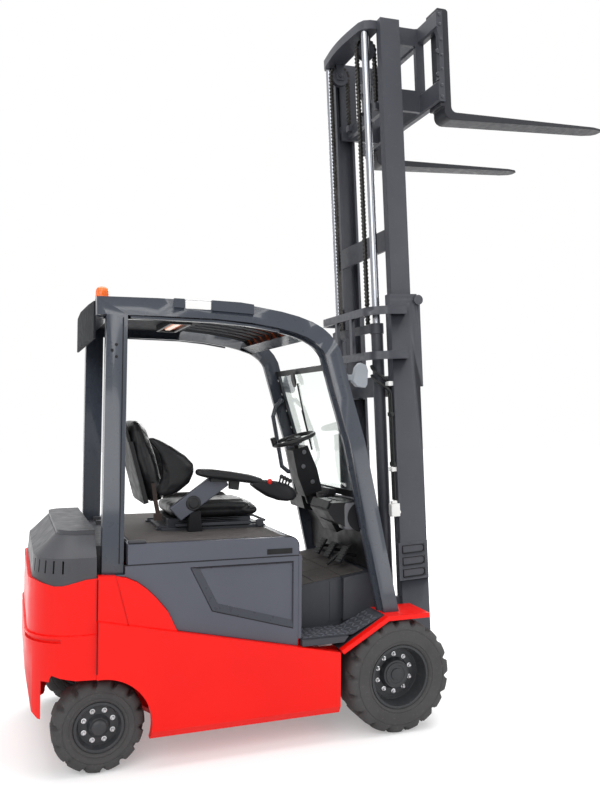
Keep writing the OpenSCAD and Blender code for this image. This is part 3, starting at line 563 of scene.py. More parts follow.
def dress_wheel(end, wheel, hand, sign):
    """The tyre, the wheel nuts, and the hub cap with its disc."""
    body = "wheel_%s_%s" % (end, hand)
    tyre("tyre_%s_%s" % (end, hand), body, wheel, at(wheel.x, sign * wheel.middle, wheel.radius))
    out = (0, sign, 0)
    ring = Shape()
    for k in range(wheel.nuts):
        angle = 2 * math.pi * (k + 0.5) / wheel.nuts
        x, z = wheel.x + wheel.circle * math.cos(angle), wheel.radius + wheel.circle * math.sin(angle)
        ring.nut(at(x, sign * (wheel.face - 1), z), out, NUT_SIZE, NUT_HEIGHT)
    ring.finish("nuts_%s_%s" % (end, hand), body, "chrome", BRIGHT)
    hub = at(wheel.x, sign * wheel.face, wheel.radius)
    disc = [(-1, wheel.rim - 30), (3, wheel.rim - 32), (3, wheel.circle + 20), (-1, wheel.circle + 18)]
    cap = Shape().turned(hub, out, wheel.cap, 40).turned(hub, out, disc, 48)
    cap.finish("hub_%s_%s" % (end, hand), body, "rim_grey")


for end, wheel in WHEELS.items():
    for hand, sign in SIDES.items():
        dress_wheel(end, wheel, hand, sign)


# Driver's seat, in millimetres from the front edge of the seat deck

# Sections of the cushion and of a side bolster: middle in X, Y and Z, half sizes in Y and Z
CUSHION = [
    (-582, 0, 100, 190, 22), (-574, 0, 100, 226, 30), (-480, 0, 99, 240, 31), (-300, 0, 99, 240, 31),
    (-160, 0, 102, 240, 34), (-120, 0, 100, 236, 31), (-104, 0, 96, 222, 20),
]
BOLSTER = [
    (-552, 216, 138, 16, 10), (-530, 216, 138, 26, 20), (-300, 216, 138, 26, 20), (-190, 214, 136, 26, 18),
    (-158, 212, 130, 18, 10),
]
# Sections of the back: middle in X and Z, half thickness and half width
BACK = [
    (-640, 148, 36, 170), (-648, 165, 42, 190), (-664, 220, 46, 212), (-690, 310, 49, 230),
    (-714, 390, 51, 231), (-736, 460, 47, 216), (-752, 525, 41, 190), (-760, 566, 27, 160),
    (-763, 580, 12, 130),
]
# Direction in X and Z in which the leaning back is thick
BACK_FACING = (0.96, 0.26)
# Sections of a side wing of the back: middle in X and Z, half sizes in X and Y
WING = [
    (-612, 182, 30, 18), (-588, 205, 56, 28), (-558, 250, 80, 30), (-546, 305, 90, 30), (-550, 350, 92, 30),
    (-580, 400, 76, 30), (-624, 446, 52, 27), (-664, 480, 30, 22), (-684, 494, 14, 12),
]
WING_Y = 209
# Cloth of the pads: frames simulated and pressure, then swelling in millimetres, fill and voxel in metres
CLOTH_FRAMES, CLOTH_PRESSURE = 20, 4
SEAT_SWELL, SEAT_FILL, SEAT_VOXEL = 9, 0.7, 0.0064
SEAM_R, SEAM_STEPS = 2.2, 6


def pad(name, shape, node, swell, voxel):
    """A stuffed pad: its form is remeshed, swollen as cloth by a limited distance, and evened out."""
    obj = shape.finish(name, None, "seat_cover", stands_for=(node,) if node else ())
    remesh = obj.modifiers.new("Remesh", "REMESH")
    remesh.mode = "VOXEL"
    remesh.voxel_size = voxel
    settle(obj)
    rest = [v.co.copy() for v in obj.data.vertices]
    cloth = obj.modifiers.new("Cloth", "CLOTH")
    cloth.settings.use_pressure = True
    cloth.settings.uniform_pressure_force = CLOTH_PRESSURE
    cloth.settings.effector_weights.gravity = 0
    cloth.point_cache.frame_start, cloth.point_cache.frame_end = 1, CLOTH_FRAMES
    for number in range(1, CLOTH_FRAMES + 1):
        scene.frame_set(number)
    settle(obj)
    scene.frame_set(1)
    for v, start in zip(obj.data.vertices, rest):
        move = v.co - start
        v.co = start + move * min(1, swell / 1000 / max(move.length, 1e-6))
    even = obj.modifiers.new("Even", "SMOOTH")
    even.factor, even.iterations = 0.5, 6
    obj.modifiers.new("Fine", "SUBSURF").levels = 1
    settle(obj)
    obj.data.shade_smooth()
    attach(obj, "hood")
    return obj


def seam(name, pads, lines):
    """Raised sewn lines lying on the nearest surface of a pad."""
    shape = Shape()
    for line in lines:
        path = []
        for start, end in zip(line, line[1:]):
            for k in range(SEAM_STEPS):
                point = deck(*Vector(start).lerp(end, k / SEAM_STEPS))
                path.append(pads.matrix_world @ pads.closest_point_on_mesh(point)[1])
        shape.tube(path, SEAM_R, 8)
    shape.finish(name, "hood", "seat_cover")


def seat_pads():
    cushion = Shape().stack(CUSHION, deck)
    thick_x, thick_z = BACK_FACING
    back = Shape().loft([
        [deck(x + thick_x * b, a, z + thick_z * b) for a, b in oval(half_y, half_t)]
        for x, z, half_t, half_y in BACK
    ])
    for sign in SIDES.values():
        cushion.stack([(x, sign * y, z, half_y, half_z) for x, y, z, half_y, half_z in BOLSTER], deck)
        back.loft([
            [deck(x + a, sign * WING_Y + b, z) for a, b in oval(half_x, half_y, power=2.6)]
            for x, z, half_x, half_y in WING
        ])
    cushion_pad = pad("seat_cushion_pad", cushion, "seat_cushion", SEAT_SWELL, SEAT_VOXEL)
    back_pad = pad("seat_back_pad", back, "seat_back", SEAT_SWELL, SEAT_VOXEL)
    lengthwise = [[(-560, s * 180, 160), (-130, s * 180, 150)] for s in SIDES.values()]
    crosswise = [[(x, -180, 160), (x, 180, 160)] for x in (-250, -400)]
    seam("cushion_seams", cushion_pad, lengthwise + crosswise)
    upright = [
        [(-560, s * 172, 170), (-600, s * 172, 300), (-650, s * 165, 450), (-690, s * 140, 560)]
        for s in SIDES.values()
    ]
    level = [[(-600, -170, z), (-600, 170, z)] for z in (260, 350)]
    seam("back_seams", back_pad, upright + level)


def seat_shell():
    """The moulded shell behind the back, with a pale crest along its upper edge."""
    shell = Shape()
    shell.prism(ribbon([(-700, 142), (-802, 520), (-821, 568)], -1, 14), -165, 165, deck)
    shell.prism(ribbon([(-690, 150), (-776, 470)], 3, 26), -196, 196, deck)
    for sign in SIDES.values():
        rib = [deck(-712, sign * 176, 160), deck(-790, sign * 176, 450), deck(-816, sign * 150, 560)]
        shell.tube(rib, 9)
    shell.finish("seat_shell", "hood", "black_plastic", bevel=4)
    crest = Shape().prism(ribbon([(-812, 525), (-826, 575)], -3, 6), -150, 150, deck)
    crest.finish("seat_crest", "hood", "lamp_grey", PALE, bevel=3)


def seat_mount():
    """The bellows under the seat, its slide rails with their bow and knob, and the belt."""
    folds = []
    for k in range(11):
        inward = 9 * (k % 2)
        fold = oval(232 - inward, 192 - inward, 48, 6)
        folds.append([deck(-365 + a, b, 19 + 4.4 * k) for a, b in fold])
    Shape().loft(folds).finish("seat_bellows", "hood", "black_plastic")
    rails = Shape()
    for sign in SIDES.values():
        rails.plate(rectangle(-650, -52, 4, 12), sign, 147, 179, deck)
        rails.tube([deck(-90, sign * 120, 22), deck(-60, sign * 120, 26), deck(-34, sign * 110, 24)], 7)
    rails.tube([deck(-34, y, 24) for y in (-110, 0, 110)], 7)
    rails.turned(deck(-100, -192, 26), (0, -1, 0), [(0, 12), (20, 12), (21, 22), (36, 22), (39, 18)], 20)
    rails.box((-560, -236, 24), (-150, -214, 40), deck)
    rails.finish("seat_rails", "hood", "black_steel", bevel=2)
    belt = Shape()
    belt.prism(ribbon([(-676, 254), (-664, 160), (-650, 90)], -11, 11), -224, -220, deck)
    belt.box((-672, -228, 60), (-630, -212, 96), deck)
    belt.finish("seat_belt", "hood", "seat_cover", WEBBING, bevel=1)


seat_pads()
seat_shell()
seat_mount()


# Armrest with the lift levers, in millimetres from the front edge of the seat deck

ARM_Y = -340
# Sections of the rest and of the pod: middle in X and Z, half sizes in Y and Z
REST = [
    (-482, 314, 22, 10), (-470, 314, 32, 17), (-430, 309, 38, 20), (-300, 292, 40, 20), (-190, 274, 40, 18),
    (-130, 262, 36, 14),
]
ARM_POD = [
    (-185, 250, 26, 12), (-150, 240, 40, 28), (-100, 224, 46, 44), (-40, 208, 47, 50), (10, 198, 44, 46),
    (44, 190, 34, 32), (62, 186, 18, 14),
]
REST_SWELL, REST_FILL, REST_VOXEL = 5, 0.8, 0.005
LEVER_KNOB = [(0, 6), (4, 10), (14, 11), (20, 8), (22, 2)]


def on_arm(sections):
    return [(x, ARM_Y, z, half_y, half_z) for x, z, half_y, half_z in sections]


def armrest():
    arm = Shape().prism([(-606, 128), (-546, 62), (-294, 240), (-316, 280), (-400, 280)], -298, -264, deck)
    slate = materials["panel_grey"]
    arm.finish("armrest_plate", "hood", "dark_plastic", slate, bevel=6, stands_for=("armrest",))
    bracket = Shape().prism([(-505, 2), (-430, 2), (-440, 110), (-500, 110)], -288, -240, deck)
    bracket.finish("armrest_bracket", "hood", "black_steel", COCKPIT_PAINTED_SHADE, bevel=5)
    joint = Shape()
    disc = [(0, 40), (6, 38), (8, 36), (8, 26), (13, 24), (14, 3)]
    joint.turned(deck(-482, -296, 152), (0, -1, 0), disc, 36)
    joint.box((-400, -334, 262), (-290, -268, 288), deck)
    joint.prism([(-296, 222), (-246, 214), (-240, 262), (-296, 274)], -318, -290, deck)
    joint.finish("armrest_joint", "hood", "black_plastic", bevel=4)
    pad("armrest_pad", Shape().stack(on_arm(REST), deck), None, REST_SWELL, REST_VOXEL)
    Shape().stack(on_arm(ARM_POD), deck).finish("armrest_pod", "hood", "dark_plastic", COCKPIT_PAINTED_SHADE)
    button = Shape()
    button.turned(deck(-96, -376, 258), (0, -0.7, 1), [(-6, 12), (8, 13), (14, 11), (17, 6), (18, 1)], 20)
    button.finish("armrest_button", "hood", "body_red", BUTTON)
    levers = Shape()
    for k in range(4):
        foot = deck(-36 + 20 * k, -356 + 10 * k, 246 - 9 * k)
        levers.tube([foot, foot + Vector((0.005, 0, 0.022)), foot + Vector((0.010, 0, 0.036))], 5)
        levers.turned(foot + Vector((0.010, 0, 0.028)), (0.3, 0, 1), LEVER_KNOB, 16)
    levers.finish("armrest_levers", "hood", "black_plastic")


armrest()


# Driver's floor, step and controls

MAT_ROWS = ((-540, -395), (-391, -240), (-236, -100))
MAT_COLUMNS = ((-360, -122), (-118, 118), (122, 360))
MAT_T, DECK_MAT_T = 4, 3
# Upper line of the step in X and Z, its inner and outer edge in Y, and the grips on it
STEP = [(-538, STEP_Z), (-262, STEP_Z), (-92, STEP_Z + 80)]
STEP_IN, STEP_OUT = 396, 570
GRIP_ROWS, GRIP_COLUMNS, GRIP_PITCH, GRIP_TURN = 13, 5, 34, 38
# Height, half length and half breadth of a grip from its foot to its crown
GRIP_LAYERS = ((3, 16, 5), (6.5, 15, 4.2), (7.5, 13, 3))
# Rear and front face of the plates on the battery's front wall
WALL_X = (FLOOR_X - 0.2, FLOOR_X + 1.4)
# Outer edge of those plates, and inner edge where they reach down beside the floor
WALL_OUT, WALL_IN = 546, 380
KICK_PLATE = [(-306, 545), (-306, 766), (-170, 786), (-170, 600), (-232, 560)]
PEDALS_Y = (-230, -60, 90)


def mats():
    """Panels of the floor mat with gaps between them, and the mat on the seat deck."""
    floor_mat = Shape()
    for x0, x1 in MAT_ROWS:
        for y0, y1 in MAT_COLUMNS:
            floor_mat.prism(ribbon([(x0, floor_at(x0)), (x1, floor_at(x1))], 0, MAT_T), y0, y1)
    floor_mat.finish("floor_mat", "chassis", "black_plastic", FLOOR_MAT, bevel=1.5)
    top = [(DECK_X - 832, DECK_Z), (DECK_X - 80, DECK_Z)]
    deck_mat = Shape().prism(ribbon(top, 0, DECK_MAT_T), -545, 545)
    deck_mat.finish("deck_mat", "hood", "black_plastic", FLOOR_MAT, bevel=1.2)


def step(hand, sign):
    """A step mat with rows of grips that slant by turns."""
    tread = Shape().plate(ribbon(STEP, 0, MAT_T), sign, STEP_IN, STEP_OUT)
    tread.finish("step_mat_" + hand, "chassis", "black_plastic", MAT, bevel=1.5)
    grips = Shape()
    side = Vector((0, 1, 0))
    for row in range(GRIP_ROWS):
        x, z, slope = along(STEP, 18 + GRIP_PITCH * row)
        ahead = Vector((math.cos(slope), 0, math.sin(slope)))
        up = Vector((-math.sin(slope), 0, math.cos(slope)))
        for k in range(GRIP_COLUMNS):
            turn = math.radians(GRIP_TURN if (row + k) % 2 else -GRIP_TURN)
            middle = at(x, sign * (STEP_IN + 20 + GRIP_PITCH * k), z)
            long = ahead * math.cos(turn) + side * math.sin(turn)
            wide = side * math.cos(turn) - ahead * math.sin(turn)
            layers = []
            for h, length, breadth in GRIP_LAYERS:
                rim = oval(length, breadth, 10, 2.4)
                layers.append([middle + up * h / 1000 + (long * a + wide * b) / 1000 for a, b in rim])
            grips.loft(layers)
    # The grips' lighter colour is partly a painted glint
    grips.finish("step_grip_" + hand, "chassis", "black_plastic", GRIP_PAINTED_GLINT)


def floor_trim():
    """Trim over the edges between the floor, the step and the battery's front wall."""
    for hand, sign in SIDES.items():
        upright = rectangle(DECK_X - 4, FLOOR_X + 1.5, STEP_Z + 6, LID_Z - 2)
        trim = Shape().plate(upright, sign, PANEL_Y - 23.5, PANEL_Y + 1.5)
        trim.finish("panel_trim_" + hand, "chassis", "panel_grey", bevel=4)
        kick = Shape().plate(KICK_PLATE, sign, FLOOR_SIDE - 0.5, FLOOR_SIDE + 2.5)
        kick.finish("kick_plate_" + hand, "chassis", "black_steel", bevel=0.8)
    rear, front = WALL_X
    middle = FLOOR_Z + 5
    wall = Shape().box((rear, -WALL_OUT, middle), (front, WALL_OUT, LID_Z - 3))
    for sign in SIDES.values():
        wall.plate(rectangle(rear, front, STEP_Z + 4, middle), sign, WALL_IN, WALL_OUT)
    wall.finish("battery_front", "chassis", "panel_grey", bevel=0.5)


def controls():
    """Ribs of the pedals with the brake lever, and the screws of the steering column."""
    treads = Shape()
    for y in PEDALS_Y:
        for k in range(6):
            x, z = -205 + 9.2 * k, floor_at(-200) + 49 + 14.2 * k
            treads.tube([at(x, y - 31, z), at(x, y + 31, z)], 3.2, 8)
    treads.tube([at(-231, -151, 812), at(-170, -172, 872), at(-100, -196, 925)], 9)
    treads.finish("pedal_treads", "chassis", "black_plastic")
    screws = Shape()
    for x, z in ((-341, 1448), (-345, 1365), (-287, 1276)):
        screws.turned(at(x, -60, z), (0, -1, 0), [(-2, 13), (3, 12), (5, 8), (5.5, 1)], 20)
    screws.finish("column_screws", "chassis", "black_plastic", POD)


def instruments():
    """The rounded grey end of the instrument panel, the switches and the display."""
    pod = Shape().loft([
        [at(-198 + a, -400 + b, z) for a, b in oval(grow * 62, grow * 50, 40, 4)]
        for z, grow in ((1048, 0.8), (1056, 0.94), (1080, 1), (1170, 1.03), (1186, 1.0), (1193, 0.92))
    ])
    pod.finish("dash_pod", "chassis", "dark_plastic", POD)
    switches = Shape()
    for k in range(4):
        y = -230 - 34 * k
        switches.box((-318, y - 13, 1190), (-284, y + 13, 1199))
        switches.box((-262, y - 13, 1192), (-232, y + 13, 1201))
    hood = [(-345, 1160), (-330, 1196), (-322, 1199), (-322, 1206), (-336, 1204), (-352, 1164)]
    switches.prism(hood, -424, -190)
    switches.finish("dash_switches", "chassis", "black_plastic", bevel=2.5)
    display = Shape().prism([(-214, 1196), (-150, 1196), (-140, 1232), (-196, 1238)], -86, 86)
    display.finish("dash_display", "chassis", "black_plastic", bevel=8)


mats()
for hand, sign in SIDES.items():
    step(hand, sign)
floor_trim()
controls()
instruments()


# Body panels

# Outline in X and Z of the side panel's pocket at the panel's face and at the foot of its slope
POCKET = [(-1115, 925), (-1007, 711), (-590, 592), (-590, 925)]
POCKET_FLOOR = [(-1066, 916), (-978, 744), (-595, 634), (-595, 916)]


def panel(hand, sign):
    """The pocket's slope in painted shade, the dark joints, painted shade in the hood's hand grip slot, and
    the hood's corner bumper and latch.
    """
    # The slope's darker paint is painted shade
    rim = Shape().loft([
        [at(x, sign * (PANEL_Y - 0.5), z) for x, z in POCKET],
        [at(x, sign * (PANEL_Y - 9), z) for x, z in POCKET_FLOOR],
        [at(x, sign * (PANEL_Y - 9.8), z) for x, z in POCKET],
    ], closed=True)
    rim.finish("pocket_rim_" + hand, "chassis", "panel_grey", POCKET_PAINTED_SHADE, bevel=2)
    edge = POCKET[3:] + POCKET[:3]
    line = Shape().tube([at(x, sign * (PANEL_Y - 1), z) for x, z in edge], 2.4, 8)
    y = sign * (PANEL_Y - 1)
    line.prism(rectangle(-1430, DECK_X - 2, LID_Z - 2, LID_Z + 2), y - 3, y + 2)
    line.finish("panel_joints_" + hand, "chassis", "black_plastic", JOINT_AND_SHADE)
    # A dark plate inside the hand grip's slot, painted shade in the recess
    y = sign * (PANEL_Y - 0.4)
    slot = Shape().prism(rectangle(-730, -598, LID_Z + 12, LID_Z + 38), y - 4, y + 1.2)
    slot.finish("hood_grip_shade_" + hand, "hood", "black_plastic", JOINT_AND_SHADE, bevel=1)
    corner = arc(DECK_X - HOOD_R, DECK_Z - HOOD_R, HOOD_R, 0, 90, 10)
    edge = [(DECK_X, LID_Z + 7)] + corner + [(DECK_X - 80, DECK_Z)]
    bumper = Shape().plate(ribbon(edge, -2, 2), sign, 520, 573)
    bumper.finish("hood_bumper_" + hand, "hood", "black_plastic", COCKPIT_PAINTED_SHADE, bevel=1.5)
    latch = Shape().plate(rectangle(-1408, -1325, DECK_Z, DECK_Z + 16), sign, 533, 557)
    latch.finish("hood_latch_" + hand, "hood", "dark_plastic", bevel=5)
    y = sign * (BODY_Y - 1)
    joint = Shape().prism(rectangle(SEAM_X - 3, SEAM_X + 2, 474, CREASE_TOP), y - 4, y + 0.6)
    y = sign * (BODY_Y - 16)
    joint.prism(rectangle(SEAM_X - 3, SEAM_X + 2, CREASE_TOP, WEIGHT_TOP - 5), y - 4, y + 3.6)
    joint.finish("body_joint_" + hand, "chassis", "black_plastic", JOINT_AND_SHADE)


for hand, sign in SIDES.items():
    panel(hand, sign)


# Overhead guard, lamps and windshield

POST_HOLES = ((-1472, ROOF_Z - 230), (-1492, ROOF_Z - 257), (-1472, ROOF_Z - 287))
GROOVE = [(-1450, LID_Z + 3), (-1445, LID_Z + 3), (-1438, ROOF_Z - 100), (-1443, ROOF_Z - 100)]
# A pale band on the rail, a painted reflection
RAIL_REFLECTION = [(-1150, ROOF_Z - 46), (-1150, ROOF_Z + 1.5), (-1015, ROOF_Z + 1.5), (-1015, ROOF_Z - 46)]
DRIP_CHANNEL = [(-1405, ROOF_Z - 96), (-960, ROOF_Z - 98), (-800, ROOF_Z - 110), (-660, ROOF_Z - 130)]
BEACON = at(6 - WHEELBASE, 70 - RAIL_IN, ROOF_Z - 20)
BEACON_RIBS = 7
# Bars of the roof lamp's frame: ends in X and in Y
LAMP_BARS = (
    (-1160, -1144, -240, 180), (-1061, -1045, -240, 180), (-1146, -1059, -240, -222),
    (-1146, -1059, 162, 180),
)
# Front end of a roof slat, and the windshield's outer line between the rails, in X and Z
SLAT = [(-700, ROOF_Z - 55), (-650, ROOF_Z - 62), (-560, ROOF_Z - 82), (-478, ROOF_Z - 117)]
SLAT_PITCH, SLAT_HALF = 114, 18
SCREEN = [(-109.5, 1213), (-181, 1529), (-255, 1765), (-308, 1946)]
# Depth of the border's two faces behind that line, which enclose the glass
BORDER = (27.4, 34.6)
STUDS = (120, 260, 390, 500, 610, 700)


def rail_trim(hand, sign):
    """Painted shade in the rear post's bolt holes and groove, a painted reflection as the rail's pale band,
    and the drip channel.
    """
    # Dark discs in the bolt holes, painted shade inside them
    holes = Shape()
    for x, z in POST_HOLES:
        holes.turned(at(x, sign * (RAIL_OUT - 1), z), (0, sign, 0), [(0, 7), (1.6, 7), (1.7, 1)], 16)
    holes.finish("post_hole_shade_" + hand, "chassis", "black_plastic", JOINT_AND_SHADE)
    # A dark strip along the post's groove, painted shade in it
    groove = Shape().plate(GROOVE, sign, RAIL_OUT - 3, RAIL_OUT + 0.8)
    groove.finish("post_groove_shade_" + hand, "chassis", "guard_black", JOINT_AND_SHADE)
    # Painted reflection on the rail as a pale band
    band = Shape().plate(RAIL_REFLECTION, sign, RAIL_IN + 24, RAIL_OUT + 1.5)
    band.finish("rail_painted_reflection_" + hand, "chassis", "lamp_grey", PALE, bevel=7)
    channel = Shape().plate(ribbon(DRIP_CHANNEL, -5, 7), sign, RAIL_OUT - 20, RAIL_OUT - 8)
    channel.finish("drip_channel_" + hand, "chassis", "guard_black", bevel=2)


def beacon():
    up = (0, 0, 1)
    base = Shape().turned(BEACON, up, [(0, 34), (17, 34), (20, 32), (20, 26)], 36)
    base.finish("beacon_base", "chassis", "black_plastic", stands_for=("beacon",))
    dome = [(19, 32), (24, 33)]
    for k in range(BEACON_RIBS):
        dome += [(25 + 5 * k, 33.2 - 0.2 * k), (28 + 5 * k, 32.2 - 0.2 * k)]
    dome += [(64, 30), (72, 26), (77, 18), (80, 8), (80.5, 1)]
    Shape().turned(BEACON, up, dome, 40).finish("beacon_lens", "chassis", "amber_lens")


def roof_lamp():
    lamp = Shape()
    for x0, x1, y0, y1 in LAMP_BARS:
        lamp.box((x0, y0, ROOF_Z - 86), (x1, y1, ROOF_Z - 52))
    lamp.finish("roof_lamp_frame", "chassis", "black_plastic", bevel=4)
    tray = Shape().box((-1146, -224, ROOF_Z - 70), (-1059, 164, ROOF_Z - 54))
    tray.finish("roof_lamp_tray", "chassis", "amber_lens", bevel=3)
    tube = Shape().box((-1118, -200, ROOF_Z - 80), (-1086, 140, ROOF_Z - 66))
    tube.finish("roof_lamp_tube", "chassis", "amber_lens", GLOW, bevel=6)


def roof_painted_glow():
    """Amber strips under the front ends of the roof's slats, which glow as painted light with the lens's
    emission, though they are no lamp.
    """
    tint = Shape()
    for k in range(-3, 4):
        tint.prism(ribbon(SLAT, -10, -6), SLAT_PITCH * k - SLAT_HALF, SLAT_PITCH * k + SLAT_HALF)
    # The strips share the amber lens's glow, painted light on a part that is no lamp
    tint.finish("roof_painted_glow", "chassis", "amber_lens")


def windshield():
    """The dark border of the glass, its pale studs and the wiper."""
    border = Shape()
    for sign in SIDES.values():
        border.plate(ribbon(SCREEN, *BORDER), sign, RAIL_IN - 30, RAIL_IN - 1)
    length = sum(math.hypot(xb - xa, zb - za) for (xa, za), (xb, zb) in zip(SCREEN, SCREEN[1:]))
    for low, high in ((0, 0.05), (0.955, 1)):
        ends = [along(SCREEN, length * share)[:2] for share in (low, high)]
        border.prism(ribbon(ends, *BORDER), 32 - RAIL_IN, RAIL_IN - 32)
    border.finish("screen_border", "chassis", "black_plastic", bevel=1)
    studs = Shape()
    for distance in STUDS:
        x, z = along(SCREEN, distance)[:2]
        for sign in SIDES.values():
            foot = at(x - 28, sign * (RAIL_IN - 12), z - 8)
            studs.turned(foot, (-1, 0, -0.3), [(0, 8), (6, 8), (8, 5), (8.5, 1)], 16)
    studs.finish("screen_studs", "chassis", "lamp_grey", PALE)
    wiper = Shape()
    wiper.stack([(-352, 120, 1900, 26, 20), (-346, 120, 1880, 34, 26), (-336, 120, 1850, 30, 22)], at)
    wiper.tube([at(-318, 120, 1850), at(-290, 140, 1760), at(-240, 170, 1600)], 6)
    wiper.tube([at(-270, 160, 1690), at(-232, 172, 1570), at(-196, 180, 1450)], 7)
    wiper.finish("screen_wiper", "chassis", "black_plastic")


for hand, sign in SIDES.items():
    rail_trim(hand, sign)
beacon()
roof_lamp()
roof_painted_glow()
windshield()


# Mast

CHAIN_PITCH = 22
# Rounding, waist and half thickness of a link plate, and the plates of links that take turns
LINK_R, LINK_WAIST, LINK_HALF = 9, 4.5, 1.4
LINK_PLATES = ((-12, -6, 0, 6, 12), (-15, -9, -3, 3, 9, 15))
CHAIN_ANCHOR = FORK_TOP + 124
# Windows in the outer mast: lowest edge, height and distance from one to the next
WINDOW_LOW, WINDOW_HEIGHT, WINDOW_PITCH = 470, 42, 66
PIN = [(0, 30), (5, 29), (7, 20), (7, 15), (16, 14), (18, 3)]
# Bolts in the carriage's sides: place ahead and out, heights above the forks, profile and number of faces
CARRIAGE_BOLTS = (
    (CAR_U - 20, FORK_OUT + 9, (75, 140, 480, 535), [(0, 11), (4, 11), (6, 8), (6.5, 1)], 6),
    (CAR_U - 13, FORK_OUT + 9, (230, 310, 395), [(0, 9), (4, 9), (6, 6), (6.5, 1)], 6),
    (CAR_U - 34, FORK_OUT - 5, (200, 330), [(0, 14), (12, 14), (14, 10), (14.5, 1)], 20),
)


def leaf_links(shape, path, length):
    """Plates of a leaf chain along a path that gives a place and a direction in the mast's U and W."""
    outline = arc(CHAIN_PITCH / 2, 0, LINK_R, -90, 90, 5)
    outline += [(0, LINK_WAIST)] + [(-x, z) for x, z in outline[::-1]] + [(0, -LINK_WAIST)]
    for k in range(int(length / CHAIN_PITCH)):
        u, w, angle = path(CHAIN_PITCH * (k + 0.5))
        c, s = math.cos(angle), math.sin(angle)
        ring = [(u + a * c - b * s, w + a * s + b * c) for a, b in outline]
        for sign in SIDES.values():
            for v in LINK_PLATES[k % 2]:
                middle = sign * CHAIN_V + v
                shape.prism(ring, middle - LINK_HALF, middle + LINK_HALF, on_mast)


def up_and_over(s):
    """The rear run of a chain up to its sheave and round it."""
    rise = SHEAVE_W - CHAIN_LOW
    if s < rise:
        return SHEAVE_U - CHAIN_R, CHAIN_LOW + s, math.pi / 2
    turn = math.pi - (s - rise) / CHAIN_R
    return SHEAVE_U + CHAIN_R * math.cos(turn), SHEAVE_W + CHAIN_R * math.sin(turn), turn - math.pi / 2


def down(s):
    """The front run of a chain from its sheave to the carriage."""
    return SHEAVE_U + CHAIN_R, SHEAVE_W - s, -math.pi / 2


def chains():
    rear = Shape()
    leaf_links(rear, up_and_over, SHEAVE_W - CHAIN_LOW + math.pi * CHAIN_R)
    rear.finish("chain_rear", "mast_inner", "chain_steel", stands_for=("lift_chains",))
    front = Shape()
    leaf_links(front, down, SHEAVE_W - CHAIN_ANCHOR)
    front = front.finish("chain_front", None, "chain_steel")
    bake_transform(front)


def mast_fittings():
    """Dark rims round the outer mast's windows as painted shade at their edges, pins of the sheaves and
    bolts of the carriage.
    """
    rims, pins, bolts = Shape(), Shape(), Shape()
    for sign in SIDES.values():
        for side in (-1, 1):
            end = on_mast(SHEAVE_U, sign * (CHAIN_V + 16 * side), SHEAVE_W)
            pins.turned(end, (0, sign * side, 0), PIN, 24)
        for u, v, heights, profile, faces in CARRIAGE_BOLTS:
            for w in heights:
                bolts.turned(on_mast(u, sign * v, FORK_TOP + w), (0, sign, 0), profile, faces)
        # Dark rims round each window, painted shade at its edge
        for k in range(3):
            low = WINDOW_LOW + WINDOW_PITCH * k
            high = low + WINDOW_HEIGHT
            rim = [(30, low), (150, low), (164, low + 12), (164, high - 12), (150, high), (30, high)]
            rims.tube([on_mast(u, sign * (OUTER_V + 6), w) for u, w in rim + rim[:1]], 3.2, 8)
    rims.finish("mast_window_shade", "mast_outer", "black_plastic", JOINT_AND_SHADE)
    pins.finish("sheave_pins", "mast_inner", "mast_paint")
    bolts.finish("carriage_bolts", "carriage", "mast_paint")


def hose_fittings():
    """Pale clips of the hoses and the box with its socket beside them."""
    clips = Shape()
    for w in (1540, 1060):
        clips.box((-8, 8 - OUTER_V, w), (22, 50 - OUTER_V, w + 26), on_mast)
    clips.finish("hose_clips", "mast_outer", "lamp_grey", PALE, bevel=3)
    case = Shape()
    case.box((-32, -12 - OUTER_V, 812), (22, 24 - OUTER_V, 884), on_mast)
    case.box((-24, -8 - OUTER_V, 884), (8, 18 - OUTER_V, 900), on_mast)
    case.box((22, -6 - OUTER_V, 826), (30, 16 - OUTER_V, 842), on_mast)
    case.finish("mast_box", "mast_outer", "lamp_grey", PALE, bevel=5)


chains()
mast_fittings()
hose_fittings()


# Floor, light and camera

FLOOR_GREY = 0.72
# Distances in metres over which the floor fades into the backdrop, and its glow there
FADE_FROM, FADE_TO = 2.2, 5.5
GLOW_NEAR, GLOW_FAR = 0.3, 1.0
# Strength of the world where it lights the truck and where it is looked at
WORLD_LIGHT, WORLD_SEEN = 0.42, 1.0
FRAME_HEIGHT = 800
SENSOR_HEIGHT = 36


def link_math(tree, kind, a, b):
    """A math node over two sockets, with its result held between zero and one."""
    n = tree.nodes.new("ShaderNodeMath")
    n.operation = kind
    n.use_clamp = True
    tree.links.new(a, n.inputs[0])
    tree.links.new(b, n.inputs[1])
    return n.outputs[0]


def seen_directly(tree):
    """One for rays that see the backdrop, also by way of metal or glass, and zero for rays that light."""
    ray = tree.nodes.new("ShaderNodeLightPath").outputs
    seen = link_math(tree, "ADD", ray["Is Camera Ray"], ray["Is Glossy Ray"])
    return link_math(tree, "ADD", seen, ray["Is Transmission Ray"])


def studio_floor():
    """A pale floor that keeps the truck's shadow and fades into a white backdrop."""
    bpy.ops.mesh.primitive_plane_add(size=60)
    floor = bpy.context.object
    floor.name = "studio_floor"
    s = Shader("Studio floor", (FLOOR_GREY,) * 3, 0.9, Specular_IOR_Level=0.0, Emission_Color=(1, 1, 1, 1))
    span = s.node("VectorMath", Vector=s.place)
    span.operation = "LENGTH"
    ramp = s.ranged(span.outputs["Value"], FADE_FROM, FADE_TO, GLOW_NEAR, GLOW_FAR)
    glow = link_math(s.tree, "MULTIPLY", seen_directly(s.tree), ramp)
    s.tree.links.new(glow, s.bsdf.inputs["Emission Strength"])
    floor.data.materials.append(s.material)


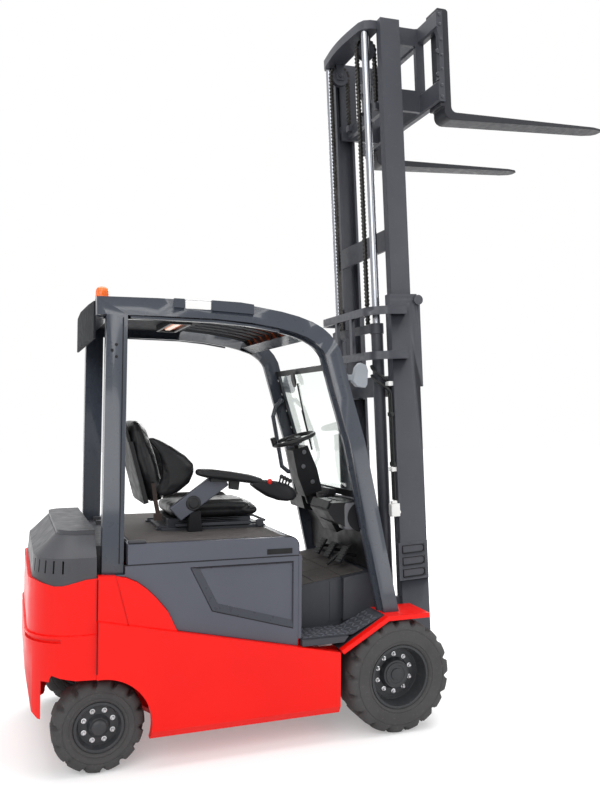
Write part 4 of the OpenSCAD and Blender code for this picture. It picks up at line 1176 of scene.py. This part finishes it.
def backdrop():
    """A world that is white to look at and lights the truck more softly."""
    world = bpy.data.worlds.new("Studio")
    scene.world = world
    world.use_nodes = True
    tree = world.node_tree
    back = tree.nodes["Background"]
    back.inputs["Color"].default_value = (1, 1, 1, 1)
    level = tree.nodes.new("ShaderNodeMapRange")
    level.inputs["To Min"].default_value = WORLD_LIGHT
    level.inputs["To Max"].default_value = WORLD_SEEN
    tree.links.new(seen_directly(tree), level.inputs["Value"])
    tree.links.new(level.outputs["Result"], back.inputs["Strength"])


def softbox(name, place, aim, size, power):
    """An area lamp at a place in metres, turned to its aim."""
    light = bpy.data.lights.new(name, "AREA")
    light.shape = "RECTANGLE"
    light.size, light.size_y = size
    light.energy = power
    obj = bpy.data.objects.new(name, light)
    scene.collection.objects.link(obj)
    obj.location = place
    obj.rotation_euler = (Vector(aim) - Vector(place)).to_track_quat("-Z", "Y").to_euler()


def camera(place, yaw, pitch, roll, focal):
    """The photograph's viewpoint, with angles in degrees and the focal length in pixels."""
    yaw, pitch, roll = (math.radians(a) for a in (yaw, pitch, roll))
    ahead = Vector((math.sin(yaw) * math.cos(pitch), math.cos(yaw) * math.cos(pitch), math.sin(pitch)))
    side = Vector((math.cos(yaw), -math.sin(yaw), 0))
    up = side.cross(ahead)
    right = math.cos(roll) * side + math.sin(roll) * up
    top = math.cos(roll) * up - math.sin(roll) * side
    data = bpy.data.cameras.new("Camera")
    data.sensor_fit = "VERTICAL"
    data.sensor_height = SENSOR_HEIGHT
    data.lens = focal / FRAME_HEIGHT * SENSOR_HEIGHT
    obj = bpy.data.objects.new("Camera", data)
    scene.collection.objects.link(obj)
    obj.matrix_world = Matrix.Translation(place) @ Matrix((right, top, -ahead)).transposed().to_4x4()
    scene.camera = obj


studio_floor()
backdrop()
camera(at(-1944, -4223, 1658), yaw=20.72, pitch=1.154, roll=0.446, focal=772)
softbox("Key", (-4.5, -6.0, 5.5), aim=(0, 0, 1.4), size=(7, 6), power=420)
softbox("Fill", (5.0, -5.0, 3.0), aim=(0, 0, 1.2), size=(5, 5), power=170)
softbox("Top", (0, 0.5, 7.0), aim=(0, 0, 1), size=(8, 6), power=520)
softbox("Back", (3.0, 6.0, 4.5), aim=(0, 0, 1.2), size=(4, 3), power=220)
scene.view_settings.view_transform = "Standard"
